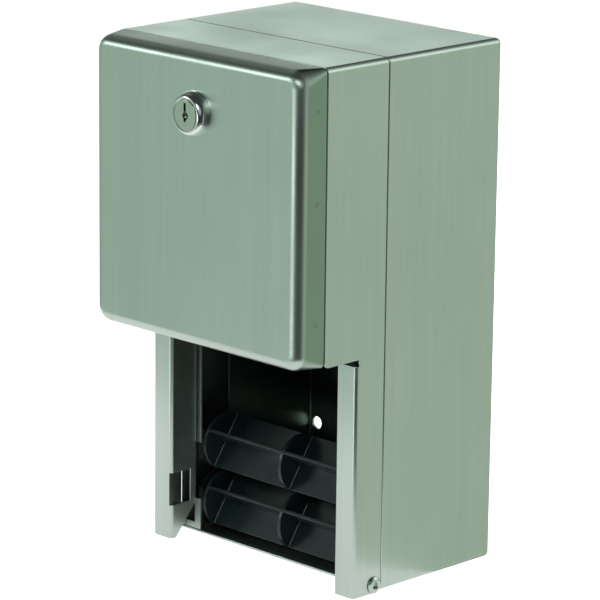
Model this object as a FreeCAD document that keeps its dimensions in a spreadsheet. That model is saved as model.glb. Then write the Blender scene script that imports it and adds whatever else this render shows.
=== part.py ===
import FreeCAD, Part
import os
import re
import Sketcher
from FreeCAD import Rotation, Vector

# Twin-roll toilet paper dispenser for a wall. Satin steel cabinet, tilting front cover with a
# drawn door panel and a cam lock, and two moulded spindles that drop in vertical guides.
# Millimetres. X runs across, Y runs to the wall, Z up. The origin is the middle of the back
# face, which is also the middle of the wall fixing pattern.

doc = FreeCAD.newDocument("roll_dispenser")

# Driving dimensions: name, value, meaning
SIZES = (
    ("cabinet_width", 152.0, "outside width of the sheet steel"),
    ("cabinet_height", 282.0, "outside height of the sheet steel"),
    ("sheet_gauge", 0.8, "thickness of the cabinet and cover steel"),
    ("bend_radius", 3.0, "outside radius of the folded edges"),
    ("seam_depth", 84.85, "wall to the seam between cabinet and cover"),
    ("seam_gap", 0.4, "open width of that seam"),
    ("floor_reach", 1.15, "how far the floor runs past the seam"),
    ("hole_spacing_x", 108.0, "wall holes, side to side"),
    ("hole_spacing_z", 188.0, "wall holes, up and down"),
    ("hole_radius", 3.625, "wall hole"),
    ("housing_width", 119.2, "clear width between the housing's cheeks"),
    ("housing_depth", 63.7, "wall to the front edge of the cheeks"),
    ("housing_height", 268.0, "height of the housing"),
    ("housing_bend", 2.0, "outside radius of the housing's bends"),
    ("hem_length", 6.0, "length of the folded hem on each cheek"),
    ("slot_width", 20.8, "cheek edge to the back of the guide rail"),
    ("rail_start", 51.0, "base to the foot of the guide rails"),
    ("rail_length", 145.0, "length of the guide rails"),
    ("rail_leg", 12.0, "leg of the rail that is welded to the cabinet"),
    ("bracket_gauge", 1.0, "thickness of the pivot brackets"),
    ("bracket_lip", 5.0, "base to the top of the bracket's front lip"),
    ("bracket_stop", 19.0, "base to the top of the bracket's stop"),
    ("stop_width", 4.4, "width of that stop"),
    ("bracket_foot", 24.0, "length of the bracket's foot on the floor"),
    ("ear_height", 14.0, "height of the bracket's ear"),
    ("ear_corner", 4.0, "corner cuts of the ear"),
    ("post_depth", 105.4, "wall to the front of the posts"),
    ("post_width", 14.3, "width of a post's front"),
    ("post_drop", 3.4, "panel's lower edge to the top of a post's front"),
    ("post_bend", 2.0, "outside radius of a post's inner bend"),
    ("notch_length", 2.3, "bend relief behind a post's front"),
    ("return_length", 18.4, "depth of a post's inner return"),
    ("return_rise", 18.0, "height of the slope that clears the pivot"),
    ("return_run", 14.5, "length of that slope"),
    ("window_start", 19.0, "base to the window in the left return"),
    ("window_height", 18.0, "height of that window"),
    ("window_length", 13.4, "length of that window along the return"),
    ("window_wrap", 1.7, "how far the window runs into the post's front"),
    ("panel_seam", 128.7, "wall to the seam between cover and panel"),
    ("panel_gap", 0.3, "open width of that seam"),
    ("panel_depth", 148.0, "wall to the face of the door panel"),
    ("panel_height", 154.0, "height of the door panel"),
    ("panel_radius", 6.6, "radius of the panel's drawn edges"),
    ("weld_lip", 16.0, "length of the stepped lips that carry the panel"),
    ("pivot_depth", 90.1, "wall to the tilt axis"),
    ("pivot_height", 4.6, "base to the tilt axis"),
    ("pivot_radius", 2.5, "shank of the pivot rivets"),
    ("rivet_bore", 1.8, "hollow of the pivot rivets"),
    ("rivet_head", 4.5, "radius of a pivot rivet's head"),
    ("rivet_head_height", 1.3, "height of that head"),
    ("rivet_crown", 2.7, "radius of the flat on that head"),
    ("clinch_radius", 3.7, "radius of a rivet's rolled end"),
    ("clinch_height", 1.0, "height of that end"),
    ("running_gap", 0.05, "radial clearance of a turning fit"),
    ("face_gap", 0.3, "clearance between faces that move past each other"),
    ("washer_gauge", 0.6, "thickness of the pivot washers"),
    ("washer_radius", 3.9, "pivot washers"),
    ("spacer_radius", 4.0, "pivot spacers"),
    ("lock_drop", 31.5, "top of the cabinet to the lock's centre"),
    ("ring_radius", 12.0, "foot of the lock's domed trim ring"),
    ("ring_foot", 1.2, "height of that foot"),
    ("ring_waist", 11.3, "radius of the ring above its foot"),
    ("ring_height", 6.3, "height of the trim ring"),
    ("ring_dome", 3.0, "radius of the ring's rounded top edge"),
    ("ring_mouth", 8.2, "radius of the ring's opening round the plug"),
    ("barrel_radius", 9.5, "holes for the threaded barrel of the lock"),
    ("barrel_length", 16.0, "barrel behind the panel"),
    ("barrel_flat", 8.0, "centre of those holes to their flats"),
    ("barrel_gap", 0.15, "barrel's clearance in those holes"),
    ("barrel_collar", 9.95, "radius of the ring's recess for the barrel's collar"),
    ("collar_height", 3.6, "depth of that recess"),
    ("seat_depth", 1.0, "plug's seat behind the panel's face"),
    ("plug_radius", 8.0, "turning plug of the lock"),
    ("plug_stem", 5.0, "stem of the plug inside the barrel"),
    ("plug_proud", 0.2, "how far the plug's face stands past the ring"),
    ("key_width", 2.2, "width of the keyway"),
    ("key_height", 9.6, "height of the keyway"),
    ("key_depth", 12.0, "depth of the keyway"),
    ("key_eye", 2.3, "radius of the keyway's round middle"),
    ("key_eye_depth", 2.0, "depth of that round middle"),
    ("lock_washer_radius", 14.0, "washer under the lock nut"),
    ("nut_width", 25.0, "lock nut across its flats"),
    ("nut_height", 3.2, "thickness of the lock nut"),
    ("cam_length", 24.0, "plug's centre to the tip of the cam"),
    ("cam_width", 12.0, "width of the cam"),
    ("cam_gauge", 1.6, "thickness of the cam"),
    ("cam_square", 3.2, "half the square drive of the cam"),
    ("cam_screw_radius", 1.5, "shank of the cam's screw"),
    ("cam_screw_length", 4.5, "length of that shank"),
    ("cam_screw_head", 5.2, "radius of that screw's head"),
    ("cam_screw_height", 1.6, "height of that head"),
    ("screw_slot_width", 1.0, "driver slot of the cam's screw"),
    ("screw_slot_depth", 0.7, "depth of that slot"),
    ("strike_gauge", 1.2, "thickness of the lock strike"),
    ("strike_width", 26.0, "width of the lock strike"),
    ("strike_setback", 6.0, "cabinet's front edge to the strike's step"),
    ("strike_pad", 14.0, "length of the strike's weld pad"),
    ("strike_drop", 4.0, "step of the strike below its weld pad"),
    ("strike_hook", 9.0, "depth of the strike's hook"),
    ("spindle_depth", 68.7, "wall to the spindles' axes"),
    ("disc_radius", 16.0, "discs of a spindle"),
    ("disc_gauge", 2.4, "thickness of those discs"),
    ("fin_gauge", 2.0, "thickness of a spindle's fins"),
    ("fin_inset", 0.2, "how far the fins stop inside the discs' edge"),
    ("fin_tilt", 56.7, "angle of the spindles' web above the level"),
    ("hub_radius", 2.4, "core where the fins cross"),
    ("journal_radius", 3.2, "end pin of a spindle"),
    ("journal_inset", 0.3, "end pin's face inside the shoe's face"),
    ("shoe_radius", 15.5, "flange of a guide shoe"),
    ("shoe_gauge", 1.8, "thickness of that flange"),
    ("shoe_height", 17.0, "height of the shoe's sliding block"),
    ("rest_gap", 0.4, "clearance under and between the spindles' discs"),
    ("overrun", 1.0, "how far a cutting shape runs past a face"),
    ("lap", 0.5, "how far fused shapes run into each other"),
)

sheet = doc.addObject("Spreadsheet::Sheet", "sizes")
for row, (alias, size, meaning) in enumerate(SIZES, 1):
    sheet.set(f"A{row}", meaning)
    sheet.set(f"B{row}", str(size))
    sheet.setAlias(f"B{row}", alias)
doc.recompute()

ALIASES = re.compile(r"\b(" + "|".join(alias for alias, size, meaning in SIZES) + r")\b")

# Places that several pieces share, as expressions on the sheet
BASE = "(-cabinet_height / 2)"
TOP = "(cabinet_height / 2)"
SIDE = "(cabinet_width / 2)"
SIDE_IN = "(cabinet_width / 2 - sheet_gauge)"
CHEEK = "(housing_width / 2)"
FLOOR = "(-cabinet_height / 2 + sheet_gauge)"
HOUSING_FOOT = "(-cabinet_height / 2 + bend_radius)"
CABINET_FRONT = "(-seam_depth + seam_gap / 2)"
COVER_REAR = "(-seam_depth - seam_gap / 2)"
POST_FRONT = "(-post_depth)"
RETURN_X = "(cabinet_width / 2 - post_width)"
RETURN_REAR = "(-post_depth + return_length)"
PANEL_FOOT = "(cabinet_height / 2 - panel_height)"
PANEL_REAR = "(-panel_seam - panel_gap / 2)"
COVER_FRONT = "(-panel_seam + panel_gap / 2)"
PANEL_FACE = "(-panel_depth)"
PANEL_BACK = "(-panel_depth + sheet_gauge)"
RAIL_BACK = "(-housing_depth - slot_width)"
RAIL_FRONT = "(-housing_depth - slot_width - sheet_gauge)"
PIVOT_Y = "(-pivot_depth)"
PIVOT_Z = "(-cabinet_height / 2 + pivot_height)"
EAR_OUT = "(cabinet_width / 2 - bend_radius)"
EAR_IN = "(cabinet_width / 2 - bend_radius - bracket_gauge)"
LOCK_Z = "(cabinet_height / 2 - lock_drop)"
RING_FACE = "(-panel_depth - ring_height)"
PLUG_FACE = "(-panel_depth - ring_height - plug_proud)"
BARREL_END = "(-panel_depth + sheet_gauge + barrel_length)"
CAM_REAR = "(-panel_depth + sheet_gauge + barrel_length + face_gap + cam_gauge)"
SHOE_IN = "(housing_width / 2 - face_gap)"
SHOE_STEP = "(housing_width / 2 + 2 * sheet_gauge + face_gap)"
SHOE_OUT = "(housing_width / 2 + 2 * sheet_gauge + face_gap + shoe_gauge)"
DISC_OUT = "(housing_width / 2 - 2 * face_gap)"
SPINDLE_Y = "(-spindle_depth)"
LOWER_Z = "(-cabinet_height / 2 + sheet_gauge + rest_gap + disc_radius)"
UPPER_Z = "(-cabinet_height / 2 + sheet_gauge + 2 * rest_gap + 3 * disc_radius)"
OVER = "(5 * overrun)"


def bound(text):
    """Write an expression with each size's name led to its cell."""
    return ALIASES.sub(r"sizes.\1", text)


def bind(item, prop, text):
    item.setExpression(prop, bound(text))


# Part workbench helpers

def block(name, x, y, z):
    """Box between pairs of expressions along X, Y and Z."""
    box = doc.addObject("Part::Box", name)
    for side, axis, (low, high) in zip(("Length", "Width", "Height"), "xyz", (x, y, z)):
        bind(box, side, f"({high}) - ({low})")
        bind(box, f"Placement.Base.{axis}", low)
    return box


TURNS = {
    "x": Rotation(Vector(0, 0, 1), Vector(1, 0, 0)),
    "y": Rotation(Vector(0, 0, 1), Vector(0, 1, 0)),
    "z": Rotation(),
}


def lay_along(item, axis, start, at):
    """Stand a round piece on its axis: start is where it begins, at the other two places."""
    item.Placement.Rotation = TURNS[axis]
    across = [letter for letter in "xyz" if letter != axis]
    bind(item, f"Placement.Base.{axis}", start)
    bind(item, f"Placement.Base.{across[0]}", at[0])
    bind(item, f"Placement.Base.{across[1]}", at[1])


def rod(name, axis, radius, start, end, at=("0", "0")):
    cylinder = doc.addObject("Part::Cylinder", name)
    bind(cylinder, "Radius", radius)
    bind(cylinder, "Height", f"({end}) - ({start})")
    lay_along(cylinder, axis, start, at)
    return cylinder


def hexagon(name, axis, across_flats, start, end, at=("0", "0")):
    prism = doc.addObject("Part::Prism", name)
    prism.Polygon = 6
    bind(prism, "Circumradius", f"({across_flats}) / 2 / cos(30deg)")
    bind(prism, "Height", f"({end}) - ({start})")
    lay_along(prism, axis, start, at)
    return prism


def fuse(name, pieces):
    joined = doc.addObject("Part::MultiFuse", name)
    joined.Shapes = pieces
    joined.Refine = True
    return joined


def cut(name, base, tools):
    """Take the tools away from the base."""
    less = doc.addObject("Part::Cut", name)
    less.Base = base
    less.Tool = tools[0] if len(tools) == 1 else fuse(name + "_tools", tools)
    less.Refine = True
    return less


def keep_common(name, first, second):
    both = doc.addObject("Part::Common", name)
    both.Base = first
    both.Tool = second
    return both


def mirror(name, source):
    """The left-hand copy of a right-hand piece."""
    copy = doc.addObject("Part::Mirroring", name)
    copy.Source = source
    copy.Normal = Vector(1, 0, 0)
    copy.Base = Vector(0, 0, 0)
    return copy


# PartDesign helpers

# Where an outline's first corner stands before its sizes place it
FIRST_CORNER = Vector(40, 0, 0)


def new_body(name):
    return doc.addObject("PartDesign::Body", name)


def outline(body, name, plane, offset, *loops):
    """Sketch closed outlines on one of the body's own planes. A corner is a pair of expressions."""
    sketch = body.newObject("Sketcher::SketchObject", name)
    face = next(item for item in body.Origin.OriginFeatures if item.Role == plane + "_Plane")
    sketch.AttachmentSupport = [(face, "")]
    sketch.MapMode = "FlatFace"
    bind(sketch, ".AttachmentOffset.Base.z", offset)
    for corners in loops:
        first = sketch.GeometryCount
        count = len(corners)
        turn = 360.0 / count
        start = [Rotation(Vector(0, 0, 1), turn * step) * FIRST_CORNER for step in range(count)]
        for step in range(count):
            sketch.addGeometry(Part.LineSegment(start[step], start[(step + 1) % count]), False)
        for step, (across, along) in enumerate(corners):
            line = first + step
            sketch.addConstraint(
                Sketcher.Constraint("Coincident", line, 2, first + (step + 1) % count, 1))
            place = sketch.addConstraint(
                Sketcher.Constraint("DistanceX", -1, 1, line, 1, start[step].x))
            bind(sketch, f"Constraints[{place}]", across)
            place = sketch.addConstraint(
                Sketcher.Constraint("DistanceY", -1, 1, line, 1, start[step].y))
            bind(sketch, f"Constraints[{place}]", along)
    return sketch


def rectangle(x, y):
    return ((x[0], y[0]), (x[1], y[0]), (x[1], y[1]), (x[0], y[1]))


def pad(body, name, sketch, length, reverse=False):
    feature = body.newObject("PartDesign::Pad", name)
    feature.Profile = sketch
    feature.Reversed = reverse
    bind(feature, "Length", length)
    doc.recompute()
    return feature


def pocket(body, name, sketch, length, reverse=False):
    """Cut a sketch from the body and make sure that something was cut."""
    before = body.Shape.Volume
    feature = body.newObject("PartDesign::Pocket", name)
    feature.Profile = sketch
    feature.Reversed = reverse
    bind(feature, "Length", length)
    doc.recompute()
    if not body.Shape.Volume < before:
        raise RuntimeError(name + " cuts nothing")
    return feature


def edges_of(shape, test):
    """Names of the edges whose middle and direction pass the test."""
    names = []
    for number, edge in enumerate(shape.Edges, 1):
        middle = edge.valueAt((edge.FirstParameter + edge.LastParameter) / 2)
        run = edge.Vertexes[-1].Point - edge.Vertexes[0].Point
        if run.Length > 0.01:
            run.normalize()
        if test(middle, run, edge):
            names.append(f"Edge{number}")
    return names


def round_edges(body, name, radius, test):
    """Fillet the edges of the body's last feature that pass the test."""
    base = body.Tip
    names = edges_of(base.Shape, test)
    if not names:
        raise RuntimeError(name + " finds no edge")
    feature = body.newObject("PartDesign::Fillet", name)
    feature.Base = (base, names)
    bind(feature, "Radius", radius)
    doc.recompute()
    return feature


def value(text):
    """A size or an expression of sizes as a number, read through a cell of the sheet."""
    sheet.set("D1", "=" + text)
    sheet.recompute()
    number = float(sheet.get("D1"))
    sheet.clear("D1")
    return number


def near(first, second, slack=0.01):
    return abs(first - second) < slack


# Rear cabinet: folded box, open to the front, with the wall holes in its back

def rear_cabinet():
    outside = soft_block("cabinet_outside", "0", f"-{CABINET_FRONT}", ("-" + SIDE, SIDE),
                         (BASE, TOP), "bend_radius", "0")
    room = soft_block("cabinet_room", "sheet_gauge", f"-{CABINET_FRONT}", ("-" + SIDE_IN, SIDE_IN),
                      (FLOOR, f"{TOP} - sheet_gauge"), "bend_radius - sheet_gauge", "-sheet_gauge")
    shell = cut("cabinet_shell", outside, [room])
    lip = block("floor_lip", (f"-{SIDE_IN} + face_gap", f"{SIDE_IN} - face_gap"),
                ("-seam_depth - floor_reach", f"{CABINET_FRONT} + 4 * lap"), (BASE, FLOOR))
    return cut("rear_cabinet", fuse("cabinet_with_lip", [shell, lip]),
               wall_holes("cabinet_holes", "-sheet_gauge - overrun", "1"))


def soft_block(name, offset, length, x, z, radius, soft_end):
    """Block that runs forward, with round long edges and one round end."""
    body = new_body(name)
    pad(body, name + "_pad", outline(body, name + "_face", "XZ", offset, rectangle(x, z)), length)
    place = value(soft_end)
    round_edges(body, name + "_edges", radius,
                lambda middle, run, edge: abs(run.y) > 0.9 or near(middle.y, place))
    return body


def wall_holes(name, start, end):
    """Four corner holes and two on the middle line."""
    holes = []
    for across in ("-hole_spacing_x / 2", "0", "hole_spacing_x / 2"):
        for up in ("-hole_spacing_z / 2", "hole_spacing_z / 2"):
            holes.append(rod(f"{name}_{len(holes)}", "y", "hole_radius", start, end, (across, up)))
    return holes


# Inner housing: channel with two cheeks whose front edges are hemmed

def inner_housing():
    body = new_body("housing_channel")
    outer = f"({CHEEK} + sheet_gauge)"
    corners = ((f"-{outer}", "-sheet_gauge"), (f"-{outer}", "-housing_depth"),
               (f"-{CHEEK}", "-housing_depth"), (f"-{CHEEK}", "-2 * sheet_gauge"),
               (CHEEK, "-2 * sheet_gauge"), (CHEEK, "-housing_depth"),
               (outer, "-housing_depth"), (outer, "-sheet_gauge"))
    pad(body, "housing_sheet", outline(body, "housing_profile", "XY", HOUSING_FOOT, corners),
        "housing_height")
    back = value("-sheet_gauge")
    cheek = value(CHEEK)
    round_edges(body, "housing_inner_bends", "housing_bend - sheet_gauge",
                lambda middle, run, edge: abs(run.z) > 0.9
                and near(middle.y, value("-2 * sheet_gauge")) and near(abs(middle.x), cheek))
    round_edges(body, "housing_outer_bends", "housing_bend",
                lambda middle, run, edge: abs(run.z) > 0.9 and near(middle.y, back))
    hems = []
    for name, low, high in (("hem_right", outer, f"{CHEEK} + 2 * sheet_gauge"),
                            ("hem_left", f"-{CHEEK} - 2 * sheet_gauge", f"-{outer}")):
        hems.append(block(name, (low, high), ("-housing_depth", "-housing_depth + hem_length"),
                          (HOUSING_FOOT, f"{HOUSING_FOOT} + housing_height")))
    return cut("inner_housing", fuse("housing_with_hems", [body] + hems),
               wall_holes("housing_holes", "-2 * sheet_gauge - overrun", "0"))


# Guide rails: angle strips that close the spindle guides to the front

def guide_rail(name):
    body = new_body(name)
    inner = f"({SIDE_IN} - sheet_gauge)"
    corners = ((CHEEK, RAIL_FRONT), (SIDE_IN, RAIL_FRONT), (SIDE_IN, f"{RAIL_BACK} + rail_leg"),
               (inner, f"{RAIL_BACK} + rail_leg"), (inner, RAIL_BACK), (CHEEK, RAIL_BACK))
    pad(body, "rail_strip", outline(body, "rail_profile", "XY", f"{BASE} + rail_start", corners),
        "rail_length")
    bend_x = value(inner)
    bend_y = value(RAIL_BACK)
    round_edges(body, "rail_inner_bend", "sheet_gauge / 2",
                lambda middle, run, edge: abs(run.z) > 0.9 and near(middle.x, bend_x)
                and near(middle.y, bend_y))
    front = value(RAIL_FRONT)
    round_edges(body, "rail_outer_bend", "sheet_gauge * 1.5",
                lambda middle, run, edge: abs(run.z) > 0.9 and near(middle.x, value(SIDE_IN))
                and near(middle.y, front))
    return body


# Pivot brackets: foot on the floor, ear for the rivet, lip and stop across the guide's foot

def pivot_bracket(name):
    stop_out = f"({CHEEK} + stop_width)"
    front = f"({RAIL_BACK} - bracket_gauge)"
    face = new_body(name + "_front")
    corners = ((CHEEK, FLOOR), (EAR_OUT, FLOOR), (EAR_OUT, f"{BASE} + bracket_lip"),
               (stop_out, f"{BASE} + bracket_lip"), (stop_out, f"{BASE} + bracket_stop"),
               (CHEEK, f"{BASE} + bracket_stop"))
    pad(face, "front_plate", outline(face, "front_shape", "XZ", f"-{RAIL_BACK}", corners),
        "bracket_gauge")
    ear = new_body(name + "_ear")
    nose = f"({PIVOT_Y} - pivot_height + sheet_gauge)"
    high = f"({FLOOR} + ear_height)"
    corners = ((nose, FLOOR), (f"{RAIL_BACK} + bracket_foot", FLOOR),
               (f"{RAIL_BACK} + bracket_foot", f"{FLOOR} + ear_height / 2"),
               (f"{RAIL_BACK} + ear_corner", high), (PIVOT_Y, high),
               (nose, f"{PIVOT_Z} + ear_corner"))
    pad(ear, "ear_plate", outline(ear, "ear_shape", "YZ", EAR_IN, corners), "bracket_gauge")
    foot = block(name + "_foot", (f"{SHOE_OUT} + 2 * face_gap", EAR_OUT),
                 (RAIL_BACK, f"{RAIL_BACK} + bracket_foot"), (FLOOR, f"{FLOOR} + bracket_gauge"))
    hole = rod(name + "_hole", "x", "pivot_radius", f"{EAR_IN} - overrun", f"{EAR_OUT} + overrun",
               (PIVOT_Y, PIVOT_Z))
    return cut(name, fuse(name + "_sheet", [face, ear, foot]), [hole])


# Front cover: cheeks and top, two posts with returns, and stepped lips behind the panel

def front_cover():
    body = new_body("cover_sheet")
    corners = ((f"-{SIDE}", BASE), (f"-{SIDE}", TOP), (SIDE, TOP), (SIDE, BASE),
               (SIDE_IN, BASE), (SIDE_IN, f"{TOP} - sheet_gauge"),
               (f"-{SIDE_IN}", f"{TOP} - sheet_gauge"), (f"-{SIDE_IN}", BASE))
    pad(body, "cover_arch", outline(body, "cover_section", "XZ", f"-{COVER_REAR}", corners),
        f"{COVER_REAR} - {COVER_FRONT}")
    side, side_in, top = value(SIDE), value(SIDE_IN), value(TOP)
    gauge = value("sheet_gauge")
    round_edges(body, "cover_inner_bends", "bend_radius - sheet_gauge",
                lambda middle, run, edge: abs(run.y) > 0.9
                and near(abs(middle.x), side_in) and near(middle.z, top - gauge))
    round_edges(body, "cover_outer_bends", "bend_radius",
                lambda middle, run, edge: abs(run.y) > 0.9
                and near(abs(middle.x), side) and near(middle.z, top))
    relief = "(-post_depth + notch_length)"
    mouth = ((relief, f"{BASE} - {OVER}"), (relief, PANEL_FOOT),
             (f"{COVER_FRONT} - {OVER}", PANEL_FOOT), (f"{COVER_FRONT} - {OVER}", f"{BASE} - {OVER}"))
    pocket(body, "cover_mouth", outline(body, "mouth_shape", "YZ", f"-{SIDE} - overrun", mouth),
           f"2 * {SIDE} + 2 * overrun", True)
    rear = value(COVER_REAR)
    base = value(BASE)
    round_edges(body, "pivot_corners", "pivot_height",
                lambda middle, run, edge: abs(run.x) > 0.9 and near(middle.y, rear)
                and near(middle.z, base) and abs(middle.x) > side_in)
    foot = value(PANEL_FOOT)
    cover_front = value(COVER_FRONT)
    round_edges(body, "shoulder_corners", "bend_radius",
                lambda middle, run, edge: abs(run.x) > 0.9 and near(middle.y, cover_front)
                and near(middle.z, foot) and abs(middle.x) > side_in)
    posts = [post("post_right", False), mirror("post_left", post("post_left_source", True))]
    lips = []
    for name, x, z in (("lip_right", (f"{SIDE_IN} - sheet_gauge", SIDE_IN),
                        (f"{PANEL_FOOT} + panel_radius", f"{TOP} - panel_radius")),
                       ("lip_left", (f"-{SIDE_IN}", f"-{SIDE_IN} + sheet_gauge"),
                        (f"{PANEL_FOOT} + panel_radius", f"{TOP} - panel_radius")),
                       ("lip_top", (f"-{SIDE_IN} + panel_radius", f"{SIDE_IN} - panel_radius"),
                        (f"{TOP} - 2 * sheet_gauge", f"{TOP} - sheet_gauge"))):
        y = (f"{COVER_FRONT} - weld_lip / 2", f"{COVER_FRONT} + weld_lip / 2")
        lips.append(block(name, x, y, z))
    whole = fuse("cover_whole", [body] + posts + lips)
    bores = [rod(f"cover_bore_{number}", "x", "pivot_radius + running_gap", low, high,
                 (PIVOT_Y, PIVOT_Z))
             for number, (low, high) in enumerate(((f"{SIDE_IN} - overrun", f"{SIDE} + overrun"),
                                                   (f"-{SIDE} - overrun", f"-{SIDE_IN} + overrun")))]
    return cut("front_cover", whole, bores)


def post(name, window):
    """Lower front corner of the cover: front strip, inner return and its cut-outs."""
    body = new_body(name + "_body")
    post_rear = "(-post_depth + notch_length + bend_radius)"
    front_in = "(-post_depth + sheet_gauge)"
    return_in = f"({RETURN_X} + sheet_gauge)"
    corners = ((SIDE, post_rear), (SIDE, POST_FRONT), (RETURN_X, POST_FRONT),
               (RETURN_X, RETURN_REAR), (return_in, RETURN_REAR), (return_in, front_in),
               (SIDE_IN, front_in), (SIDE_IN, post_rear))
    height = f"{PANEL_FOOT} - post_drop - {BASE}"
    pad(body, name + "_strip", outline(body, name + "_profile", "XY", BASE, corners), height)
    places = {key: value(text) for key, text in (
        ("side", SIDE), ("side_in", SIDE_IN), ("front", POST_FRONT), ("front_in", front_in),
        ("turn", RETURN_X), ("turn_in", return_in))}
    round_edges(body, name + "_inner_bends", "bend_radius - sheet_gauge",
                lambda middle, run, edge: abs(run.z) > 0.9
                and near(middle.x, places["side_in"]) and near(middle.y, places["front_in"]))
    round_edges(body, name + "_outer_bend", "bend_radius",
                lambda middle, run, edge: abs(run.z) > 0.9
                and near(middle.x, places["side"]) and near(middle.y, places["front"]))
    round_edges(body, name + "_return_bend", "post_bend - sheet_gauge",
                lambda middle, run, edge: abs(run.z) > 0.9
                and near(middle.x, places["turn_in"]) and near(middle.y, places["front_in"]))
    round_edges(body, name + "_return_edge", "post_bend",
                lambda middle, run, edge: abs(run.z) > 0.9
                and near(middle.x, places["turn"]) and near(middle.y, places["front"]))
    slope = ((RETURN_REAR, f"{BASE} + return_rise"),
             (f"{RETURN_REAR} - return_run", BASE),
             (f"{RETURN_REAR} - return_run", f"{BASE} - {OVER}"),
             (f"{RETURN_REAR} + {OVER}", f"{BASE} - {OVER}"),
             (f"{RETURN_REAR} + {OVER}", f"{BASE} + return_rise"))
    sketch = outline(body, name + "_slope_shape", "YZ", f"{RETURN_X} - overrun", slope)
    pocket(body, name + "_slope", sketch, "sheet_gauge + 2 * overrun", True)
    if not window:
        return body
    opening = block(name + "_window", (f"{RETURN_X} - overrun", f"{RETURN_X} + window_wrap"),
                    (f"{POST_FRONT} - overrun", f"{POST_FRONT} + window_length"),
                    (f"{BASE} + window_start", f"{BASE} + window_start + window_height"))
    return cut(name, body, [opening])


# Door panel: one drawn pan with soft edges and a flatted hole for the lock

def door_panel():
    outside = soft_block("panel_outside", f"-{PANEL_REAR}", f"{PANEL_REAR} - {PANEL_FACE}",
                         ("-" + SIDE, SIDE), (PANEL_FOOT, TOP), "panel_radius", PANEL_FACE)
    room = soft_block("panel_room", f"-{PANEL_REAR} - overrun",
                      f"{PANEL_REAR} + overrun - {PANEL_BACK}", ("-" + SIDE_IN, SIDE_IN),
                      (f"{PANEL_FOOT} + sheet_gauge", f"{TOP} - sheet_gauge"),
                      "panel_radius - sheet_gauge", PANEL_BACK)
    hole = flatted_rod("panel_hole", "barrel_radius", "barrel_flat", f"{PANEL_FACE} - overrun",
                       f"{PANEL_BACK} + overrun")
    return cut("door_panel", outside, [room, hole])


def flatted_rod(name, radius, flat, start, end):
    """Round bar about the lock's axis with two flats, left and right."""
    bar = rod(name + "_round", "y", radius, start, end, ("0", LOCK_Z))
    between = block(name + "_flats", (f"-({flat})", flat), (start, end),
                    (f"{LOCK_Z} - ({radius}) - overrun", f"{LOCK_Z} + ({radius}) + overrun"))
    return keep_common(name, bar, between)


# Cam lock

def lock_trim_ring():
    body = new_body("lock_trim_ring_turned")
    # radius across, distance in front of the panel along
    corners = (("barrel_collar", "0"), ("ring_radius", "0"), ("ring_radius", "ring_foot"),
               ("ring_waist", "ring_foot"), ("ring_waist", "ring_height"),
               ("ring_mouth", "ring_height"), ("ring_mouth", "collar_height"),
               ("barrel_collar", "collar_height"))
    turned(body, "ring", corners)
    waist = value("ring_waist")
    height = value("ring_height")
    round_edges(body, "ring_top", "ring_dome",
                lambda middle, run, edge: len(edge.Vertexes) == 1
                and near(middle.y, -height) and near(edge.Curve.Radius, waist))
    bind(body, "Placement.Base.y", PANEL_FACE)
    bind(body, "Placement.Base.z", LOCK_Z)
    return body


def turned(body, name, corners):
    """Turn a profile about the Y axis of the body; its second size runs forward."""
    sketch = outline(body, name + "_profile", "XY", "0",
                     tuple((across, f"-({along})") for across, along in corners))
    feature = body.newObject("PartDesign::Revolution", name + "_turned")
    feature.Profile = sketch
    feature.ReferenceAxis = (sketch, ["V_Axis"])
    feature.Angle = 360
    doc.recompute()
    return feature


def lock_barrel():
    body = flatted_rod("barrel_stem", "barrel_radius - barrel_gap", "barrel_flat - barrel_gap",
                       PANEL_FACE, BARREL_END)
    collar = rod("barrel_head", "y", "barrel_collar - running_gap",
                 f"{PANEL_FACE} - collar_height + running_gap", PANEL_FACE, ("0", LOCK_Z))
    bore = rod("barrel_bore", "y", "plug_stem + running_gap", f"{RING_FACE} - overrun",
               f"{BARREL_END} + overrun", ("0", LOCK_Z))
    seat = rod("barrel_seat", "y", "plug_radius + running_gap", f"{RING_FACE} - overrun",
               f"{PANEL_FACE} + seat_depth", ("0", LOCK_Z))
    return cut("lock_barrel", fuse("barrel_solid", [body, collar]), [bore, seat])


def lock_nut():
    start = f"({PANEL_BACK} + washer_gauge)"
    nut = hexagon("nut_blank", "y", "nut_width", start, f"{start} + nut_height", ("0", LOCK_Z))
    hole = flatted_rod("nut_hole", "barrel_radius", "barrel_flat", f"{start} - overrun",
                       f"{start} + nut_height + overrun")
    return cut("lock_nut", nut, [hole])


def lock_washer():
    disc = rod("washer_disc", "y", "lock_washer_radius", PANEL_BACK, f"{PANEL_BACK} + washer_gauge",
               ("0", LOCK_Z))
    hole = flatted_rod("washer_hole", "barrel_radius", "barrel_flat", f"{PANEL_BACK} - overrun",
                       f"{PANEL_BACK} + washer_gauge + overrun")
    return cut("lock_washer", disc, [hole])


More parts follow.
